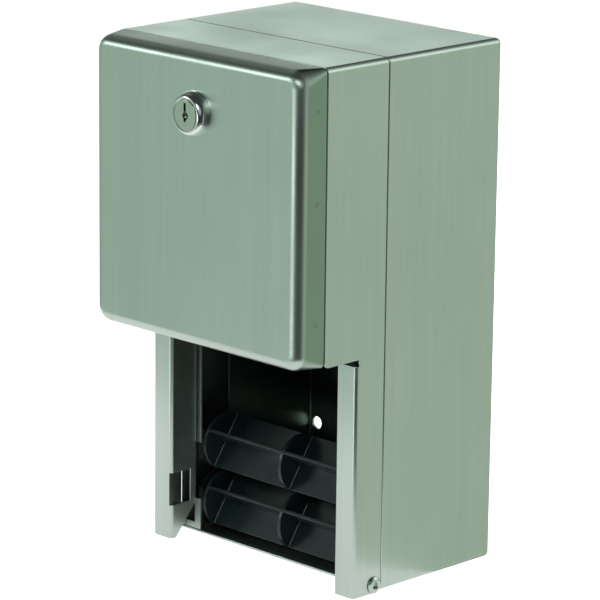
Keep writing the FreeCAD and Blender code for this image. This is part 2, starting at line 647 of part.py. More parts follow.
def lock_plug():
    head = rod("plug_head", "y", "plug_radius", PLUG_FACE,
               f"{PANEL_FACE} + seat_depth - face_gap", ("0", LOCK_Z))
    stem = rod("plug_stem_bar", "y", "plug_stem", PANEL_FACE,
               f"{BARREL_END} + face_gap", ("0", LOCK_Z))
    square = block("plug_square", ("-cam_square", "cam_square"), (BARREL_END, CAM_REAR),
                   (f"{LOCK_Z} - cam_square", f"{LOCK_Z} + cam_square"))
    depth = f"{PLUG_FACE} + key_depth"
    slot = block("keyway_slot", ("-key_width / 2", "key_width / 2"), (f"{PLUG_FACE} - overrun", depth),
                 (f"{LOCK_Z} - key_height / 2", f"{LOCK_Z} + key_height / 2"))
    eye = rod("keyway_eye", "y", "key_eye", f"{PLUG_FACE} - overrun", f"{PLUG_FACE} + key_eye_depth",
              ("0", LOCK_Z))
    tap = rod("plug_tap", "y", "cam_screw_radius", f"{CAM_REAR} - cam_screw_length - rest_gap",
              f"{CAM_REAR} + overrun", ("0", LOCK_Z))
    return cut("lock_plug", fuse("plug_solid", [head, stem, square]), [slot, eye, tap])


def lock_cam():
    """Cam arm. At rest it lies level and clears the strike."""
    start = f"({CAM_REAR} - cam_gauge)"
    hub = rod("cam_hub", "y", "cam_width / 2", start, CAM_REAR, ("0", LOCK_Z))
    arm = block("cam_arm", ("0", "cam_length - cam_width / 2"), (start, CAM_REAR),
                (f"{LOCK_Z} - cam_width / 2", f"{LOCK_Z} + cam_width / 2"))
    tip = rod("cam_tip", "y", "cam_width / 2", start, CAM_REAR,
              ("cam_length - cam_width / 2", LOCK_Z))
    hole = block("cam_hole", ("-cam_square", "cam_square"),
                 (f"{start} - overrun", f"{CAM_REAR} + overrun"),
                 (f"{LOCK_Z} - cam_square", f"{LOCK_Z} + cam_square"))
    return cut("lock_cam", fuse("cam_blank", [hub, arm, tip]), [hole])


def cam_screw():
    face = f"({CAM_REAR} + cam_screw_height)"
    head = rod("cam_screw_cap", "y", "cam_screw_head", CAM_REAR, face, ("0", LOCK_Z))
    shank = rod("cam_screw_shank", "y", "cam_screw_radius", f"{CAM_REAR} - cam_screw_length",
                f"{CAM_REAR} + lap", ("0", LOCK_Z))
    slot = block("cam_screw_slot", ("-cam_screw_head - overrun", "cam_screw_head + overrun"),
                 (f"{face} - screw_slot_depth", f"{face} + overrun"),
                 (f"{LOCK_Z} - screw_slot_width / 2", f"{LOCK_Z} + screw_slot_width / 2"))
    return cut("cam_screw", fuse("cam_screw_solid", [head, shank]), [slot])


# Lock strike: tongue from the cabinet's roof, with a hook in front of the cam

def lock_strike():
    body = new_body("lock_strike_body")
    roof = f"({TOP} - sheet_gauge)"
    low = f"({TOP} - sheet_gauge - strike_drop - strike_gauge)"
    hook_front = f"({CAM_REAR} - cam_gauge - face_gap - strike_gauge)"
    step = f"({CABINET_FRONT} + strike_setback)"
    corners = ((f"{step} + strike_pad", roof), (step, roof), (step, f"{low} + strike_gauge"),
               (hook_front, f"{low} + strike_gauge"), (hook_front, f"{low} - strike_hook"),
               (f"{hook_front} + strike_gauge", f"{low} - strike_hook"),
               (f"{hook_front} + strike_gauge", low), (f"{step} + strike_gauge", low),
               (f"{step} + strike_gauge", f"{roof} - strike_gauge"),
               (f"{step} + strike_pad", f"{roof} - strike_gauge"))
    pad(body, "strike_strip",
        outline(body, "strike_profile", "YZ", "-strike_width / 2", corners), "strike_width")
    return body


# Pivots: hollow rivets with a washer on each side of the ear

def pivot_rivet(name):
    at = (PIVOT_Y, PIVOT_Z)
    under = f"({SIDE} + face_gap)"
    inside = f"({EAR_IN} - washer_gauge)"
    shank = rod(name + "_shank", "x", "pivot_radius", f"{inside} - clinch_height / 2",
                f"{under} + lap", at)
    head = doc.addObject("Part::Cone", name + "_head")
    bind(head, "Radius1", "rivet_head")
    bind(head, "Radius2", "rivet_crown")
    bind(head, "Height", "rivet_head_height")
    lay_along(head, "x", under, at)
    clinch = rod(name + "_clinch", "x", "clinch_radius", f"{inside} - clinch_height", inside, at)
    bore = rod(name + "_bore", "x", "rivet_bore", f"{inside} - clinch_height - overrun",
               f"{under} + rivet_head_height + overrun", at)
    return cut(name, fuse(name + "_solid", [shank, head, clinch]), [bore])


def pivot_ring(name, radius, start, end):
    at = (PIVOT_Y, PIVOT_Z)
    disc = rod(name + "_disc", "x", radius, start, end, at)
    hole = rod(name + "_hole", "x", "pivot_radius", f"{start} - overrun", f"{end} + overrun", at)
    return cut(name, disc, [hole])


# Spindles and their guide shoes, drawn about the X axis and then put in place

def spindle(name, height):
    low = f"-{DISC_OUT}"
    pieces = []
    for number, (start, end) in enumerate(((low, f"{low} + disc_gauge"),
                                           ("-disc_gauge / 2", "disc_gauge / 2"),
                                           (f"{DISC_OUT} - disc_gauge", DISC_OUT))):
        pieces.append(rod(f"{name}_disc_{number}", "x", "disc_radius", start, end))
    reach = "(disc_radius - fin_inset)"
    span = (f"{low} + lap", f"{DISC_OUT} - lap")
    wide = (f"-{reach}", reach)
    thin = ("-fin_gauge / 2", "fin_gauge / 2")
    pieces.append(block(name + "_web", span, wide, thin))
    pieces.append(block(name + "_fin", span, thin, wide))
    pieces.append(rod(name + "_hub", "x", "hub_radius", span[0], span[1]))
    tip = f"({SHOE_OUT} - journal_inset)"
    pieces.append(rod(name + "_pin_left", "x", "journal_radius", f"-{tip}", f"{low} + lap"))
    pieces.append(rod(name + "_pin_right", "x", "journal_radius", f"{DISC_OUT} - lap", tip))
    whole = fuse(name, pieces)
    whole.Placement.Rotation = Rotation(Vector(1, 0, 0), 0)
    bind(whole, "Placement.Rotation.Angle", "fin_tilt")
    bind(whole, "Placement.Base.y", SPINDLE_Y)
    bind(whole, "Placement.Base.z", height)
    return whole


def guide_shoe(name, height):
    at = (SPINDLE_Y, height)
    sliding = block(name + "_block", (SHOE_IN, f"{SHOE_STEP} + lap"),
                    (f"{RAIL_BACK} + face_gap", "-housing_depth - face_gap"),
                    (f"{height} - shoe_height / 2", f"{height} + shoe_height / 2"))
    flange = rod(name + "_flange", "x", "shoe_radius", SHOE_STEP, SHOE_OUT, at)
    bore = rod(name + "_bore", "x", "journal_radius + running_gap", f"{SHOE_IN} - overrun",
               f"{SHOE_OUT} + overrun", at)
    return cut(name, fuse(name + "_solid", [sliding, flange]), [bore])


# Assembly: node name and the object that makes it

nodes = {}
nodes["rear_cabinet"] = rear_cabinet()
nodes["inner_housing"] = inner_housing()
nodes["guide_rail_right"] = guide_rail("guide_rail_right")
nodes["guide_rail_left"] = mirror("guide_rail_left", nodes["guide_rail_right"])
nodes["pivot_bracket_right"] = pivot_bracket("pivot_bracket_right")
nodes["pivot_bracket_left"] = mirror("pivot_bracket_left", nodes["pivot_bracket_right"])
nodes["lock_strike"] = lock_strike()
nodes["front_cover"] = front_cover()
nodes["door_panel"] = door_panel()
nodes["lock_trim_ring"] = lock_trim_ring()
nodes["lock_barrel"] = lock_barrel()
nodes["lock_washer"] = lock_washer()
nodes["lock_nut"] = lock_nut()
nodes["lock_plug"] = lock_plug()
nodes["lock_cam"] = lock_cam()
nodes["cam_screw"] = cam_screw()
nodes["pivot_rivet_right"] = pivot_rivet("pivot_rivet_right")
nodes["pivot_rivet_left"] = mirror("pivot_rivet_left", nodes["pivot_rivet_right"])
nodes["pivot_spacer_right"] = pivot_ring("pivot_spacer_right", "spacer_radius", EAR_OUT,
                                         f"{SIDE_IN} - face_gap")
nodes["pivot_spacer_left"] = mirror("pivot_spacer_left", nodes["pivot_spacer_right"])
nodes["pivot_washer_right"] = pivot_ring("pivot_washer_right", "washer_radius",
                                         f"{EAR_IN} - washer_gauge", EAR_IN)
nodes["pivot_washer_left"] = mirror("pivot_washer_left", nodes["pivot_washer_right"])
for level, height in (("lower", LOWER_Z), ("upper", UPPER_Z)):
    nodes[level + "_spindle"] = spindle(level + "_spindle", height)
    shoe = guide_shoe(level + "_shoe_right", height)
    nodes[level + "_shoe_right"] = shoe
    nodes[level + "_shoe_left"] = mirror(level + "_shoe_left", shoe)

doc.recompute()
for item in doc.Objects:
    if "Invalid" in item.State or "Error" in item.State:
        raise RuntimeError(f"{item.Name} failed: {item.State}")
for node, item in nodes.items():
    item.Label = node
    if item.Shape.isNull() or not item.Shape.isValid() or not item.Shape.Solids:
        raise RuntimeError(node + " has no valid solid")

os.makedirs("parts", exist_ok=True)
for node, item in nodes.items():
    item.Shape.exportStep(f"parts/{node}.step")
    print(f"{node:22s} solids {len(item.Shape.Solids)}  volume {item.Shape.Volume:10.1f}")
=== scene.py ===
# Wall dispenser for two toilet rolls: satin steel cabinet, tilting front cover with a drawn door
# panel and a cam lock, and two black spindles that drop in guides. Metres, Z up, Y to the wall.

import math

import bmesh
import bpy
from bpy.props import FloatProperty, FloatVectorProperty, IntProperty, PointerProperty
from bpy.types import Operator, Panel, PropertyGroup
from mathutils import Matrix, Vector


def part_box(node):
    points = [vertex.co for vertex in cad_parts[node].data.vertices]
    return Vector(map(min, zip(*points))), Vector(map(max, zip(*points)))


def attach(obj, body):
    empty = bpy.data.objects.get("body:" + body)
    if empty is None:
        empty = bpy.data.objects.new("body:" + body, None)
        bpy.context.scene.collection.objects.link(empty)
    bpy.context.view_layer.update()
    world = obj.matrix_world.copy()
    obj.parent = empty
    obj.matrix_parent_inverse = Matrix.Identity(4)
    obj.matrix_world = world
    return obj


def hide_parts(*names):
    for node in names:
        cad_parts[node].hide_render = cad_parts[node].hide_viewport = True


bl_info = {
    "name": "Twin Roll Dispenser",
    "version": (1, 0, 0),
    "blender": (4, 5, 0),
    "location": "3D View > Sidebar > Dispenser",
    "description": "Models and dresses a wall dispenser for two toilet rolls",
    "category": "Object",
}

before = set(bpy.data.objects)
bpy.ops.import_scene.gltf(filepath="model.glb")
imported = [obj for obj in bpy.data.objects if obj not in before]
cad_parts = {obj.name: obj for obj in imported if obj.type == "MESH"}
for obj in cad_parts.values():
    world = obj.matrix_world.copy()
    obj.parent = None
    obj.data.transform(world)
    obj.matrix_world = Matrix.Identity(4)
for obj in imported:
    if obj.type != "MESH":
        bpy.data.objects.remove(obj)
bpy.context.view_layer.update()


def corners(node):
    """Lowest and highest corner of a CAD node at rest."""
    low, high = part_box(node)
    return Vector(low), Vector(high)


CABINET_LOW, CABINET_HIGH = corners("rear_cabinet")
COVER_LOW, COVER_HIGH = corners("front_cover")
PANEL_LOW, PANEL_HIGH = corners("door_panel")
RING_LOW, RING_HIGH = corners("lock_trim_ring")
PLUG_LOW, PLUG_HIGH = corners("lock_plug")

# Gaps between sheets, and depths that the solids leave open
FACE_GAP = 0.0003
SEAM = 0.0005
COVER_FRONT = PANEL_HIGH.y + FACE_GAP
LIP_REACH = 0.008
HEM_DEPTH = 0.004
HEM_ROUND = 0.0005
CHEEK_SLACK = 0.0005
FOLD_SLACK = 0.0001
DRILL_BACK = 0.003
DRILL_FRONT = 0.001
PLUG_DEPTH = 0.0026

# Weld marks down the panel's side walls: heights over its lower edge, and their tone
WELD_HEIGHTS = (0.024, 0.086, 0.133)
WELD_BACK = 0.007
WELD_DARKNESS = 0.35
# Painted shade: share of the wall tint left on the panel's lying top and bottom walls
TOP_WALL_PAINTED_SHADE = 0.34

# Rivet's outline: radius, and height over the seat of its head or over its inner end
RIVET_HEAD = ((0.0018, 0.0009), (0.0022, 0.0013), (0.0031, 0.00125), (0.004, 0.0009),
              (0.0045, 0.0004), (0.0045, 0.0), (0.0025, 0.0))
RIVET_FOOT = ((0.0025, 0.001), (0.0037, 0.0009), (0.0035, 0.0002), (0.0024, 0.0),
              (0.0018, 0.0004))
RIVET_HEAD_DEPTH = 0.0013

# Ejector marks on the spindles' webs
MARK_RADIUS = 0.0016
MARK_ALONG = 0.017
MARK_ACROSS = 0.011
MARK_SUNK = 0.0005
MARK_PROUD = 0.00012

# Stage
FLOOR_REACH = 2.0
FLOOR_DROP = 0.075
CARD_REACH = (0.35, 0.165)
CARD_PLACE = (-0.12, -0.18)
CARD_LIFT = -0.0002
# The card is seen only in reflections; its glow is emission that stands in for even light falling on
# it
CARD_TONE = 0.1
CARD_GLOW = 0.88


def linear(code):
    """An sRGB hex colour as linear red, green, blue and alpha."""
    parts = [int(code[place:place + 2], 16) / 255 for place in (1, 3, 5)]
    return tuple(part / 12.92 if part <= 0.04045 else ((part + 0.055) / 1.055) ** 2.4
                 for part in parts) + (1.0,)


# Soft patches of the studio: direction, angle of the full light and of its edge, brightness, colour
PATCHES = (
    ((-0.65, -0.72, -0.25), 28, 58, 0.53, "#E7FFEF"),
    ((-0.66, -0.68, 0.28), 4, 11, 4.2, "#F7FFFF"),
    ((-0.80, 0.59, 0.06), 10, 31, 1.08, "#F1FFF8"),
    ((0.65, 0.69, -0.24), 32, 60, 0.60, "#F0FFEB"),
    ((0.57, 0.72, 0.38), 6, 26, 0.9, "#F7FFFF"),
    ((0.25, 0.68, 0.68), 10, 34, 0.26, "#F1FFF3"),
    ((-0.70, 0.12, 0.70), 8, 30, 0.14, "#F1FFE8"),
    ((0.36, -0.76, 0.48), 5, 15, 3.4, "#F7FFFF"),
    ((-0.20, -0.95, -0.22), 4, 10, 2.6, "#F4FCFF"),
    ((0.66, -0.68, 0.35), 10, 28, 0.42, "#F1FFF8"),
    ((-0.79, 0.46, -0.42), 14, 38, 0.4, "#F0FFEB"),
    ((0.0, 0.0, -1.0), 30, 60, 0.35, "#FFFFFF"),
)


# Sizes and colours that a user may change

def length(name, text, default):
    return FloatProperty(name=name, description=text, default=default, min=0.0, precision=5,
                         subtype="DISTANCE", unit="LENGTH")


def colour(name, text, code):
    return FloatVectorProperty(name=name, description=text, default=linear(code), size=4, min=0.0,
                               max=1.0, subtype="COLOR")


class SheetSizes(PropertyGroup):
    gauge: length("Gauge", "Thickness of the sheet steel", 0.0008)
    fold: length("Fold radius", "Outside radius of the folded edges", 0.003)
    eased: length("Eased edge", "Rounding of the sheet's inner cut edges", 0.00012)
    rolled: length("Rolled edge", "Rounding of the sheet's outer cut edges", 0.00062)
    hole: length("Wall hole", "Radius of the wall holes", 0.003625)
    hole_across: length("Hole spacing across", "Wall holes, side to side", 0.108)
    hole_up: length("Hole spacing up", "Wall holes, up and down", 0.188)


class CoverSizes(PropertyGroup):
    relief: length("Bend relief", "Wall to the relief behind the posts' fronts", 0.1031)
    post_front: length("Post front", "Wall to the posts' fronts", 0.1054)
    post_inner: length("Post inner face", "Middle to the posts' inner faces", 0.0617)
    post_bend: length("Post bend", "Outside radius of the posts' bends", 0.002)
    post_top: length("Post drop", "Panel's lower edge to the top of a post's front", 0.0034)
    return_rear: length("Return rear", "Wall to the rear of the inner returns", 0.087)
    slope_rise: length("Slope rise", "Height of the slope over the pivot", 0.018)
    slope_run: length("Slope run", "Length of that slope", 0.0145)
    window_low: length("Window start", "Base to the window in the left return", 0.019)
    window_high: length("Window end", "Base to the top of that window", 0.037)
    window_rear: length("Window rear", "Wall to the window's rear edge", 0.0912)
    window_side: length("Window side", "Middle to the window's edge in the post's front", 0.0634)
    heel: length("Heel", "Radius of the cover's lower rear corners", 0.0046)


class PanelSizes(PropertyGroup):
    drawn: length("Drawn radius", "Radius of the panel's drawn edges", 0.0066)
    corner: length("Corner radius", "Radius of the panel's corners seen from the front", 0.0092)
    rim: length("Rim corner", "Radius of the panel's corners at its open rim", 0.003)
    weld_spot: length("Weld spot", "Radius of a spot weld's mark", 0.0021)
    lock_hole: length("Lock hole", "Radius of the panel's hole behind the ring", 0.0095)


class LockSizes(PropertyGroup):
    waist: length("Ring waist", "Radius of the trim ring above its foot", 0.0118)
    foot: length("Ring foot", "Height of the trim ring's foot", 0.0007)
    crown: length("Ring crown", "Radius at which the ring's dome levels off", 0.0085)
    mouth: length("Ring mouth", "Radius of the ring's opening round the plug", 0.0082)
    plug: length("Plug", "Radius of the turning plug", 0.008)
    slot: length("Key slot", "Width of the keyway", 0.0016)
    slot_down: length("Slot foot", "Keyway's reach below the plug's axis", 0.0036)
    slot_up: length("Slot head", "Keyway's reach above the plug's axis", 0.0062)
    slot_deep: length("Slot depth", "Depth of the keyway", 0.005)
    eye: length("Key eye", "Radius of the keyway's round middle", 0.002)
    eye_deep: length("Eye depth", "Depth of the keyway's round middle", 0.002)
    eye_drop: length("Eye drop", "Plug's axis to the middle of the eye", 0.0004)
    bore: length("Ring bore", "Radius of the ring's bore behind its mouth", 0.0098)
    stem: length("Plug stem", "Radius of the plug behind its head", 0.005)


class SpindleSizes(PropertyGroup):
    disc: length("Disc", "Radius of a spindle's discs", 0.016)
    disc_gauge: length("Disc gauge", "Thickness of those discs", 0.0024)
    disc_out: length("Disc place", "Middle to the outer discs' outer faces", 0.059)
    fin_gauge: length("Fin gauge", "Thickness of the fins", 0.002)
    fin_reach: length("Fin reach", "Axis to the tip of a fin", 0.0158)
    bead: length("Bead", "Radius of the bead between web and disc", 0.0007)
    pin: length("Pin", "Radius of the end pins", 0.0032)
    tilt: FloatProperty(name="Tilt", description="Angle of the web above the level",
                        default=math.radians(56.7), subtype="ANGLE", unit="ROTATION")


class Finishes(PropertyGroup):
    steel: colour("Satin steel", "Cabinet and cover", "#C2CEC6")
    # Painted shade, partly also a duller unbrushed finish: the darker tint of the panel's side walls
    drawn: colour("Drawn steel", "Side walls of the panel", "#8FA494")
    # Painted shade: the sheet inside the cabinet is tinted darker than the satin steel, for the shade
    # inside it
    housing: colour("Housing steel", "Sheet inside the cabinet", "#6E7B74")
    chrome: colour("Chrome", "Trim ring of the lock", "#E3E9E4")
    plug: colour("Plug", "Face of the lock's plug", "#C3CFC0")
    zinc: colour("Zinc", "Small hardware inside", "#A9AFAC")
    plastic: colour("Black ABS", "Spindles", "#122022")
    acetal: colour("Black acetal", "Guide shoes", "#101314")
    nylon: colour("Nylon", "Pivot spacers", "#D9D7CB")


class Studio(PropertyGroup):
    lens: FloatProperty(name="Lens", description="Focal length for a 36 mm wide sensor",
                        default=218.476, min=1.0, subtype="DISTANCE_CAMERA", unit="CAMERA")
    floor: colour("Floor", "Pale floor", "#F6F7F6")
    surround: FloatProperty(name="Surround", description="Strength of the studio's soft surround",
                            default=1.0, min=0.0)
    steps: IntProperty(name="Turning steps", description="Faces round a turned piece",
                       default=64, min=12)


GROUPS = {"sheet": SheetSizes, "cover": CoverSizes, "panel": PanelSizes, "lock": LockSizes,
          "spindle": SpindleSizes, "finish": Finishes, "studio": Studio}


class DispenserSettings(PropertyGroup):
    sheet: PointerProperty(type=SheetSizes)
    cover: PointerProperty(type=CoverSizes)
    panel: PointerProperty(type=PanelSizes)
    lock: PointerProperty(type=LockSizes)
    spindle: PointerProperty(type=SpindleSizes)
    finish: PointerProperty(type=Finishes)
    studio: PointerProperty(type=Studio)


# Mesh helpers

def add_block(bm, low, high):
    """Add a box between two corners and return its vertices."""
    low, high = Vector(low), Vector(high)
    verts = bmesh.ops.create_cube(bm, size=1.0)["verts"]
    bmesh.ops.scale(bm, vec=high - low, verts=verts)
    bmesh.ops.translate(bm, vec=(low + high) / 2, verts=verts)
    return verts


def add_turned(bm, points, centre, axis, steps):
    """Spin a closed outline of radius and height pairs about an axis, and return its vertices."""
    axis = Vector(axis)
    across = Vector((0, 0, 1))
    verts = [bm.verts.new(Vector(centre) + across * radius + axis * height)
             for radius, height in points]
    edges = [bm.edges.new((verts[place], verts[(place + 1) % len(verts)]))
             for place in range(len(verts))]
    before = set(bm.verts) - set(verts)
    bmesh.ops.spin(bm, geom=verts + edges, cent=centre, axis=axis, angle=math.tau, steps=steps,
                   use_merge=True)
    made = [vert for vert in bm.verts if vert not in before]
    bmesh.ops.remove_doubles(bm, verts=made, dist=1e-6)
    return [vert for vert in bm.verts if vert not in before]


def add_rod(bm, centre, axis, radius, start, end, steps):
    """Add a closed cylinder along an axis from a start to an end, and return its vertices."""
    axis = Vector(axis)
    verts = bmesh.ops.create_cone(bm, cap_ends=True, segments=steps, radius1=radius,
                                  radius2=radius, depth=end - start)["verts"]
    turn = Vector((0, 0, 1)).rotation_difference(axis).to_matrix()
    bmesh.ops.rotate(bm, verts=verts, cent=(0, 0, 0), matrix=turn)
    bmesh.ops.translate(bm, verts=verts, vec=Vector(centre) + axis * (start + end) / 2)
    return verts


def round_off(bm, edges, width, segments):
    if edges:
        bmesh.ops.bevel(bm, geom=edges, offset=width, offset_type="OFFSET", segments=segments,
                        profile=0.5, affect="EDGES", material=-1, clamp_overlap=True)


def edges_where(bm, test):
    """Edges whose two ends both pass the test."""
    return [edge for edge in bm.edges if all(test(vert.co) for vert in edge.verts)]


def close_to(first, second, slack=1e-5):
    return abs(first - second) < slack


def verts_of(made):
    """The vertices among what an operator made."""
    return [item for item in made if isinstance(item, bmesh.types.BMVert)]


def mesh_of(name, bm):
    """Mesh data from a finished bmesh, which it frees."""
    mesh = bpy.data.meshes.new(name)
    bm.to_mesh(mesh)
    bm.free()
    return mesh


def slice_at(bm, faces, place, normal, drop=False):
    """Cut faces along a plane, and drop what lies on the side that the normal points to."""
    geom = set(faces)
    for face in faces:
        geom.update(face.edges)
        geom.update(face.verts)
    bmesh.ops.bisect_plane(bm, geom=list(geom), dist=1e-7, plane_co=place, plane_no=normal,
                           clear_outer=drop)


def face_outwards(bm, axis):
    """Turn a sheet's faces so that the lowest one along an axis looks down that axis."""
    bmesh.ops.recalc_face_normals(bm, faces=bm.faces)
    lowest = min(bm.faces, key=lambda face: (round(face.calc_center_median()[axis], 5),
                                             -face.calc_area()))
    if lowest.normal[axis] > 0:
        bmesh.ops.reverse_faces(bm, faces=bm.faces)


def thicken(bm, sheet):
    """Give a sheet its gauge on its inner side and ease its cut edges, the outer ones more."""
    made = bmesh.ops.solidify(bm, geom=list(bm.faces), thickness=sheet.gauge)["geom"]
    inside = set(verts_of(made))
    bm.normal_update()
    sharp = [edge for edge in bm.edges if edge.is_manifold
             and edge.calc_face_angle(0) > math.radians(50)]
    outer = [edge for edge in sharp if not inside.intersection(edge.verts)]
    inner = [edge for edge in sharp if inside.issuperset(edge.verts)]
    round_off(bm, outer, sheet.rolled, 3)
    round_off(bm, [edge for edge in inner if edge.is_valid], sheet.eased, 2)


def finish_piece(bm, name, body, material, nodes=(), outwards=True):
    """Make the mesh an object that rides on a body and stands for CAD nodes."""
    bmesh.ops.remove_doubles(bm, verts=bm.verts, dist=2e-6)
    if outwards:
        bmesh.ops.recalc_face_normals(bm, faces=bm.faces)
    bm.normal_update()
    for face in bm.faces:
        face.smooth = True
    for edge in bm.edges:
        edge.smooth = len(edge.link_faces) == 2 and edge.calc_face_angle(0) < math.radians(32)
    mesh = mesh_of(name, bm)
    piece = bpy.data.objects.new(name, mesh)
    bpy.context.collection.objects.link(piece)
    mesh.materials.append(material)
    flat = piece.modifiers.new("even shading", "WEIGHTED_NORMAL")
    flat.keep_sharp = True
    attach(piece, body)
    if nodes:
        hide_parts(*nodes)
    return piece


def as_cutter(bm):
    """Object made of a closed mesh, to cut another one with."""
    bmesh.ops.recalc_face_normals(bm, faces=bm.faces)
    cutter = bpy.data.objects.new("cutter", mesh_of("cutter", bm))
    bpy.context.collection.objects.link(cutter)
    return cutter


def carve(piece, cutter):
    """Cut one piece out of another and drop the cutter."""
    cut = piece.modifiers.new("cut", "BOOLEAN")
    cut.operation = "DIFFERENCE"
    cut.solver = "EXACT"
    cut.object = cutter
    evaluated = piece.evaluated_get(bpy.context.evaluated_depsgraph_get())
    mesh = bpy.data.meshes.new_from_object(evaluated)
    piece.modifiers.remove(cut)
    piece.data = mesh
    bpy.data.objects.remove(cutter, do_unlink=True)


# Material helpers

def add_node(tree, kind, inputs=None, links=None, **settings):
    """Add a shader node with its settings, socket values and incoming links."""
    made = tree.nodes.new(kind)
    for name, setting in settings.items():
        setattr(made, name, setting)
    for name, number in (inputs or {}).items():
        made.inputs[name].default_value = number
    for name, socket in (links or {}).items():
        tree.links.new(socket, made.inputs[name])
    return made


def empty_material(name):
    material = bpy.data.materials.new(name)
    material.use_nodes = True
    tree = material.node_tree
    tree.nodes.clear()
    shader = add_node(tree, "ShaderNodeBsdfPrincipled")
    add_node(tree, "ShaderNodeOutputMaterial", links={"Surface": shader.outputs["BSDF"]})
    return material, tree, shader


def shade(code, factor):
    return tuple(min(1.0, part * factor) for part in code[:3]) + (1.0,)


def brushed_steel(name, tint, roughness, contrast=1.0, spots=(), wall_shade_tint=None):
    """Stainless steel after a grit belt: fine straight grain, a soft sheen drawn out across it.
    The real grain is about 0.1 mm, too fine to show, so it is drawn 0.7 mm wide."""
    material, tree, shader = empty_material(name)
    place = add_node(tree, "ShaderNodeTexCoord")
    facing = add_node(tree, "ShaderNodeSeparateXYZ", links={0: place.outputs["Normal"]})
    upright = add_node(tree, "ShaderNodeMath", links={0: facing.outputs["Z"]}, operation="ABSOLUTE")
    lying = add_node(tree, "ShaderNodeMath", {1: 0.7}, {0: upright.outputs[0]},
                     operation="GREATER_THAN")

    def streaks(width, run, detail):
        """Noise drawn out along the grain: upwards on the walls, crosswise on roof and floor."""
        wide, long = 1 / width, 1 / run
        walls = add_node(tree, "ShaderNodeMapping", {"Scale": (wide, wide, long)},
                         {"Vector": place.outputs["Object"]})
        roof = add_node(tree, "ShaderNodeMapping", {"Scale": (long, wide, wide)},
                        {"Vector": place.outputs["Object"]})
        pick = add_node(tree, "ShaderNodeMix", None,
                        {0: lying.outputs[0], 4: walls.outputs[0], 5: roof.outputs[0]},
                        data_type="VECTOR")
        return add_node(tree, "ShaderNodeTexNoise", {"Scale": 1.0, "Detail": detail,
                                                     "Roughness": 0.6},
                        {"Vector": pick.outputs[1]})

    fine = streaks(width=0.0007, run=0.05, detail=2.0)
    broad = streaks(width=0.006, run=0.25, detail=1.0)
    handled = add_node(tree, "ShaderNodeTexNoise", {"Scale": 14.0, "Detail": 2.0},
                       {"Vector": place.outputs["Object"]})
    mixed = add_node(tree, "ShaderNodeMath", {1: 0.6}, {0: fine.outputs[0]}, operation="MULTIPLY")
    mixed = add_node(tree, "ShaderNodeMath", {1: 0.4}, {0: broad.outputs[0], 2: mixed.outputs[0]},
                     operation="MULTIPLY_ADD")
    tone = add_node(tree, "ShaderNodeMapRange",
                    {"From Min": 0.35, "From Max": 0.65}, {"Value": mixed.outputs[0]})
    base = add_node(tree, "ShaderNodeMix",
                    {6: shade(tint, 1 - 0.06 * contrast), 7: shade(tint, 1 + 0.05 * contrast)},
                    {0: tone.outputs[0]}, data_type="RGBA")
    rough = add_node(tree, "ShaderNodeMapRange",
                     {"From Min": 0.3, "From Max": 0.7, "To Min": roughness - 0.05,
                      "To Max": roughness + 0.05}, {"Value": handled.outputs[0]})
    colour_out = base.outputs[2]
    # Painted shade, partly also a duller unbrushed finish: faces turned away from the front take a
    # darker wall tint, and those lying flat, such as the panel's top wall, a darker one still.
    if wall_shade_tint:
        forward = add_node(tree, "ShaderNodeMath", None, {0: facing.outputs["Y"]},
                           operation="ABSOLUTE")
        wall = add_node(tree, "ShaderNodeMapRange", {"From Min": 0.35, "From Max": 0.05},
                        {"Value": forward.outputs[0]}, interpolation_type="SMOOTHSTEP")
        shaded_wall_tint = add_node(tree, "ShaderNodeMix",
         {6: shade(wall_shade_tint, 1.0), 7: shade(wall_shade_tint, TOP_WALL_PAINTED_SHADE)},
                              {0: lying.outputs[0]}, data_type="RGBA")
        painted_wall_shade = add_node(tree, "ShaderNodeMix", None,
                          {0: wall.outputs[0], 6: colour_out, 7: shaded_wall_tint.outputs[2]},
                          data_type="RGBA")
        colour_out = painted_wall_shade.outputs[2]
    for centre, radius in spots:
        away = add_node(tree, "ShaderNodeVectorMath", {1: centre},
                        {0: place.outputs["Object"]}, operation="DISTANCE")
        ring = add_node(tree, "ShaderNodeMapRange",
                        {"From Min": radius * 0.3, "From Max": radius, "To Min": 1.0,
                         "To Max": 0.0}, {"Value": away.outputs["Value"]},
                        interpolation_type="SMOOTHSTEP")
        faint = add_node(tree, "ShaderNodeMath", {1: WELD_DARKNESS}, {0: ring.outputs[0]},
                         operation="MULTIPLY")
        stain = add_node(tree, "ShaderNodeMix", {7: shade(tint, 0.3)},
                         {0: faint.outputs[0], 6: colour_out}, data_type="RGBA")
        colour_out = stain.outputs[2]
    grain = add_node(tree, "ShaderNodeBump", {"Strength": 0.12 * contrast, "Distance": 0.00004},
                     {"Height": fine.outputs[0]})
    sideways = add_node(tree, "ShaderNodeVectorMath", {0: (0, 0, 1)},
                        {1: place.outputs["Normal"]}, operation="CROSS_PRODUCT")
    along_roof = add_node(tree, "ShaderNodeVectorMath", {0: (0, 1, 0)}, None, operation="SCALE")
    tree.links.new(lying.outputs[0], along_roof.inputs["Scale"])
    drawn = add_node(tree, "ShaderNodeVectorMath", None,
                     {0: sideways.outputs[0], 1: along_roof.outputs[0]}, operation="ADD")
    world = add_node(tree, "ShaderNodeVectorTransform", None, {"Vector": drawn.outputs[0]},
                     vector_type="VECTOR", convert_from="OBJECT", convert_to="WORLD")
    shader.inputs["Metallic"].default_value = 1.0
    shader.inputs["Anisotropic"].default_value = 0.55
    for socket, source in (("Base Color", colour_out), ("Roughness", rough.outputs[0]),
                           ("Normal", grain.outputs[0]), ("Tangent", world.outputs[0])):
        tree.links.new(source, shader.inputs[socket])
    return material


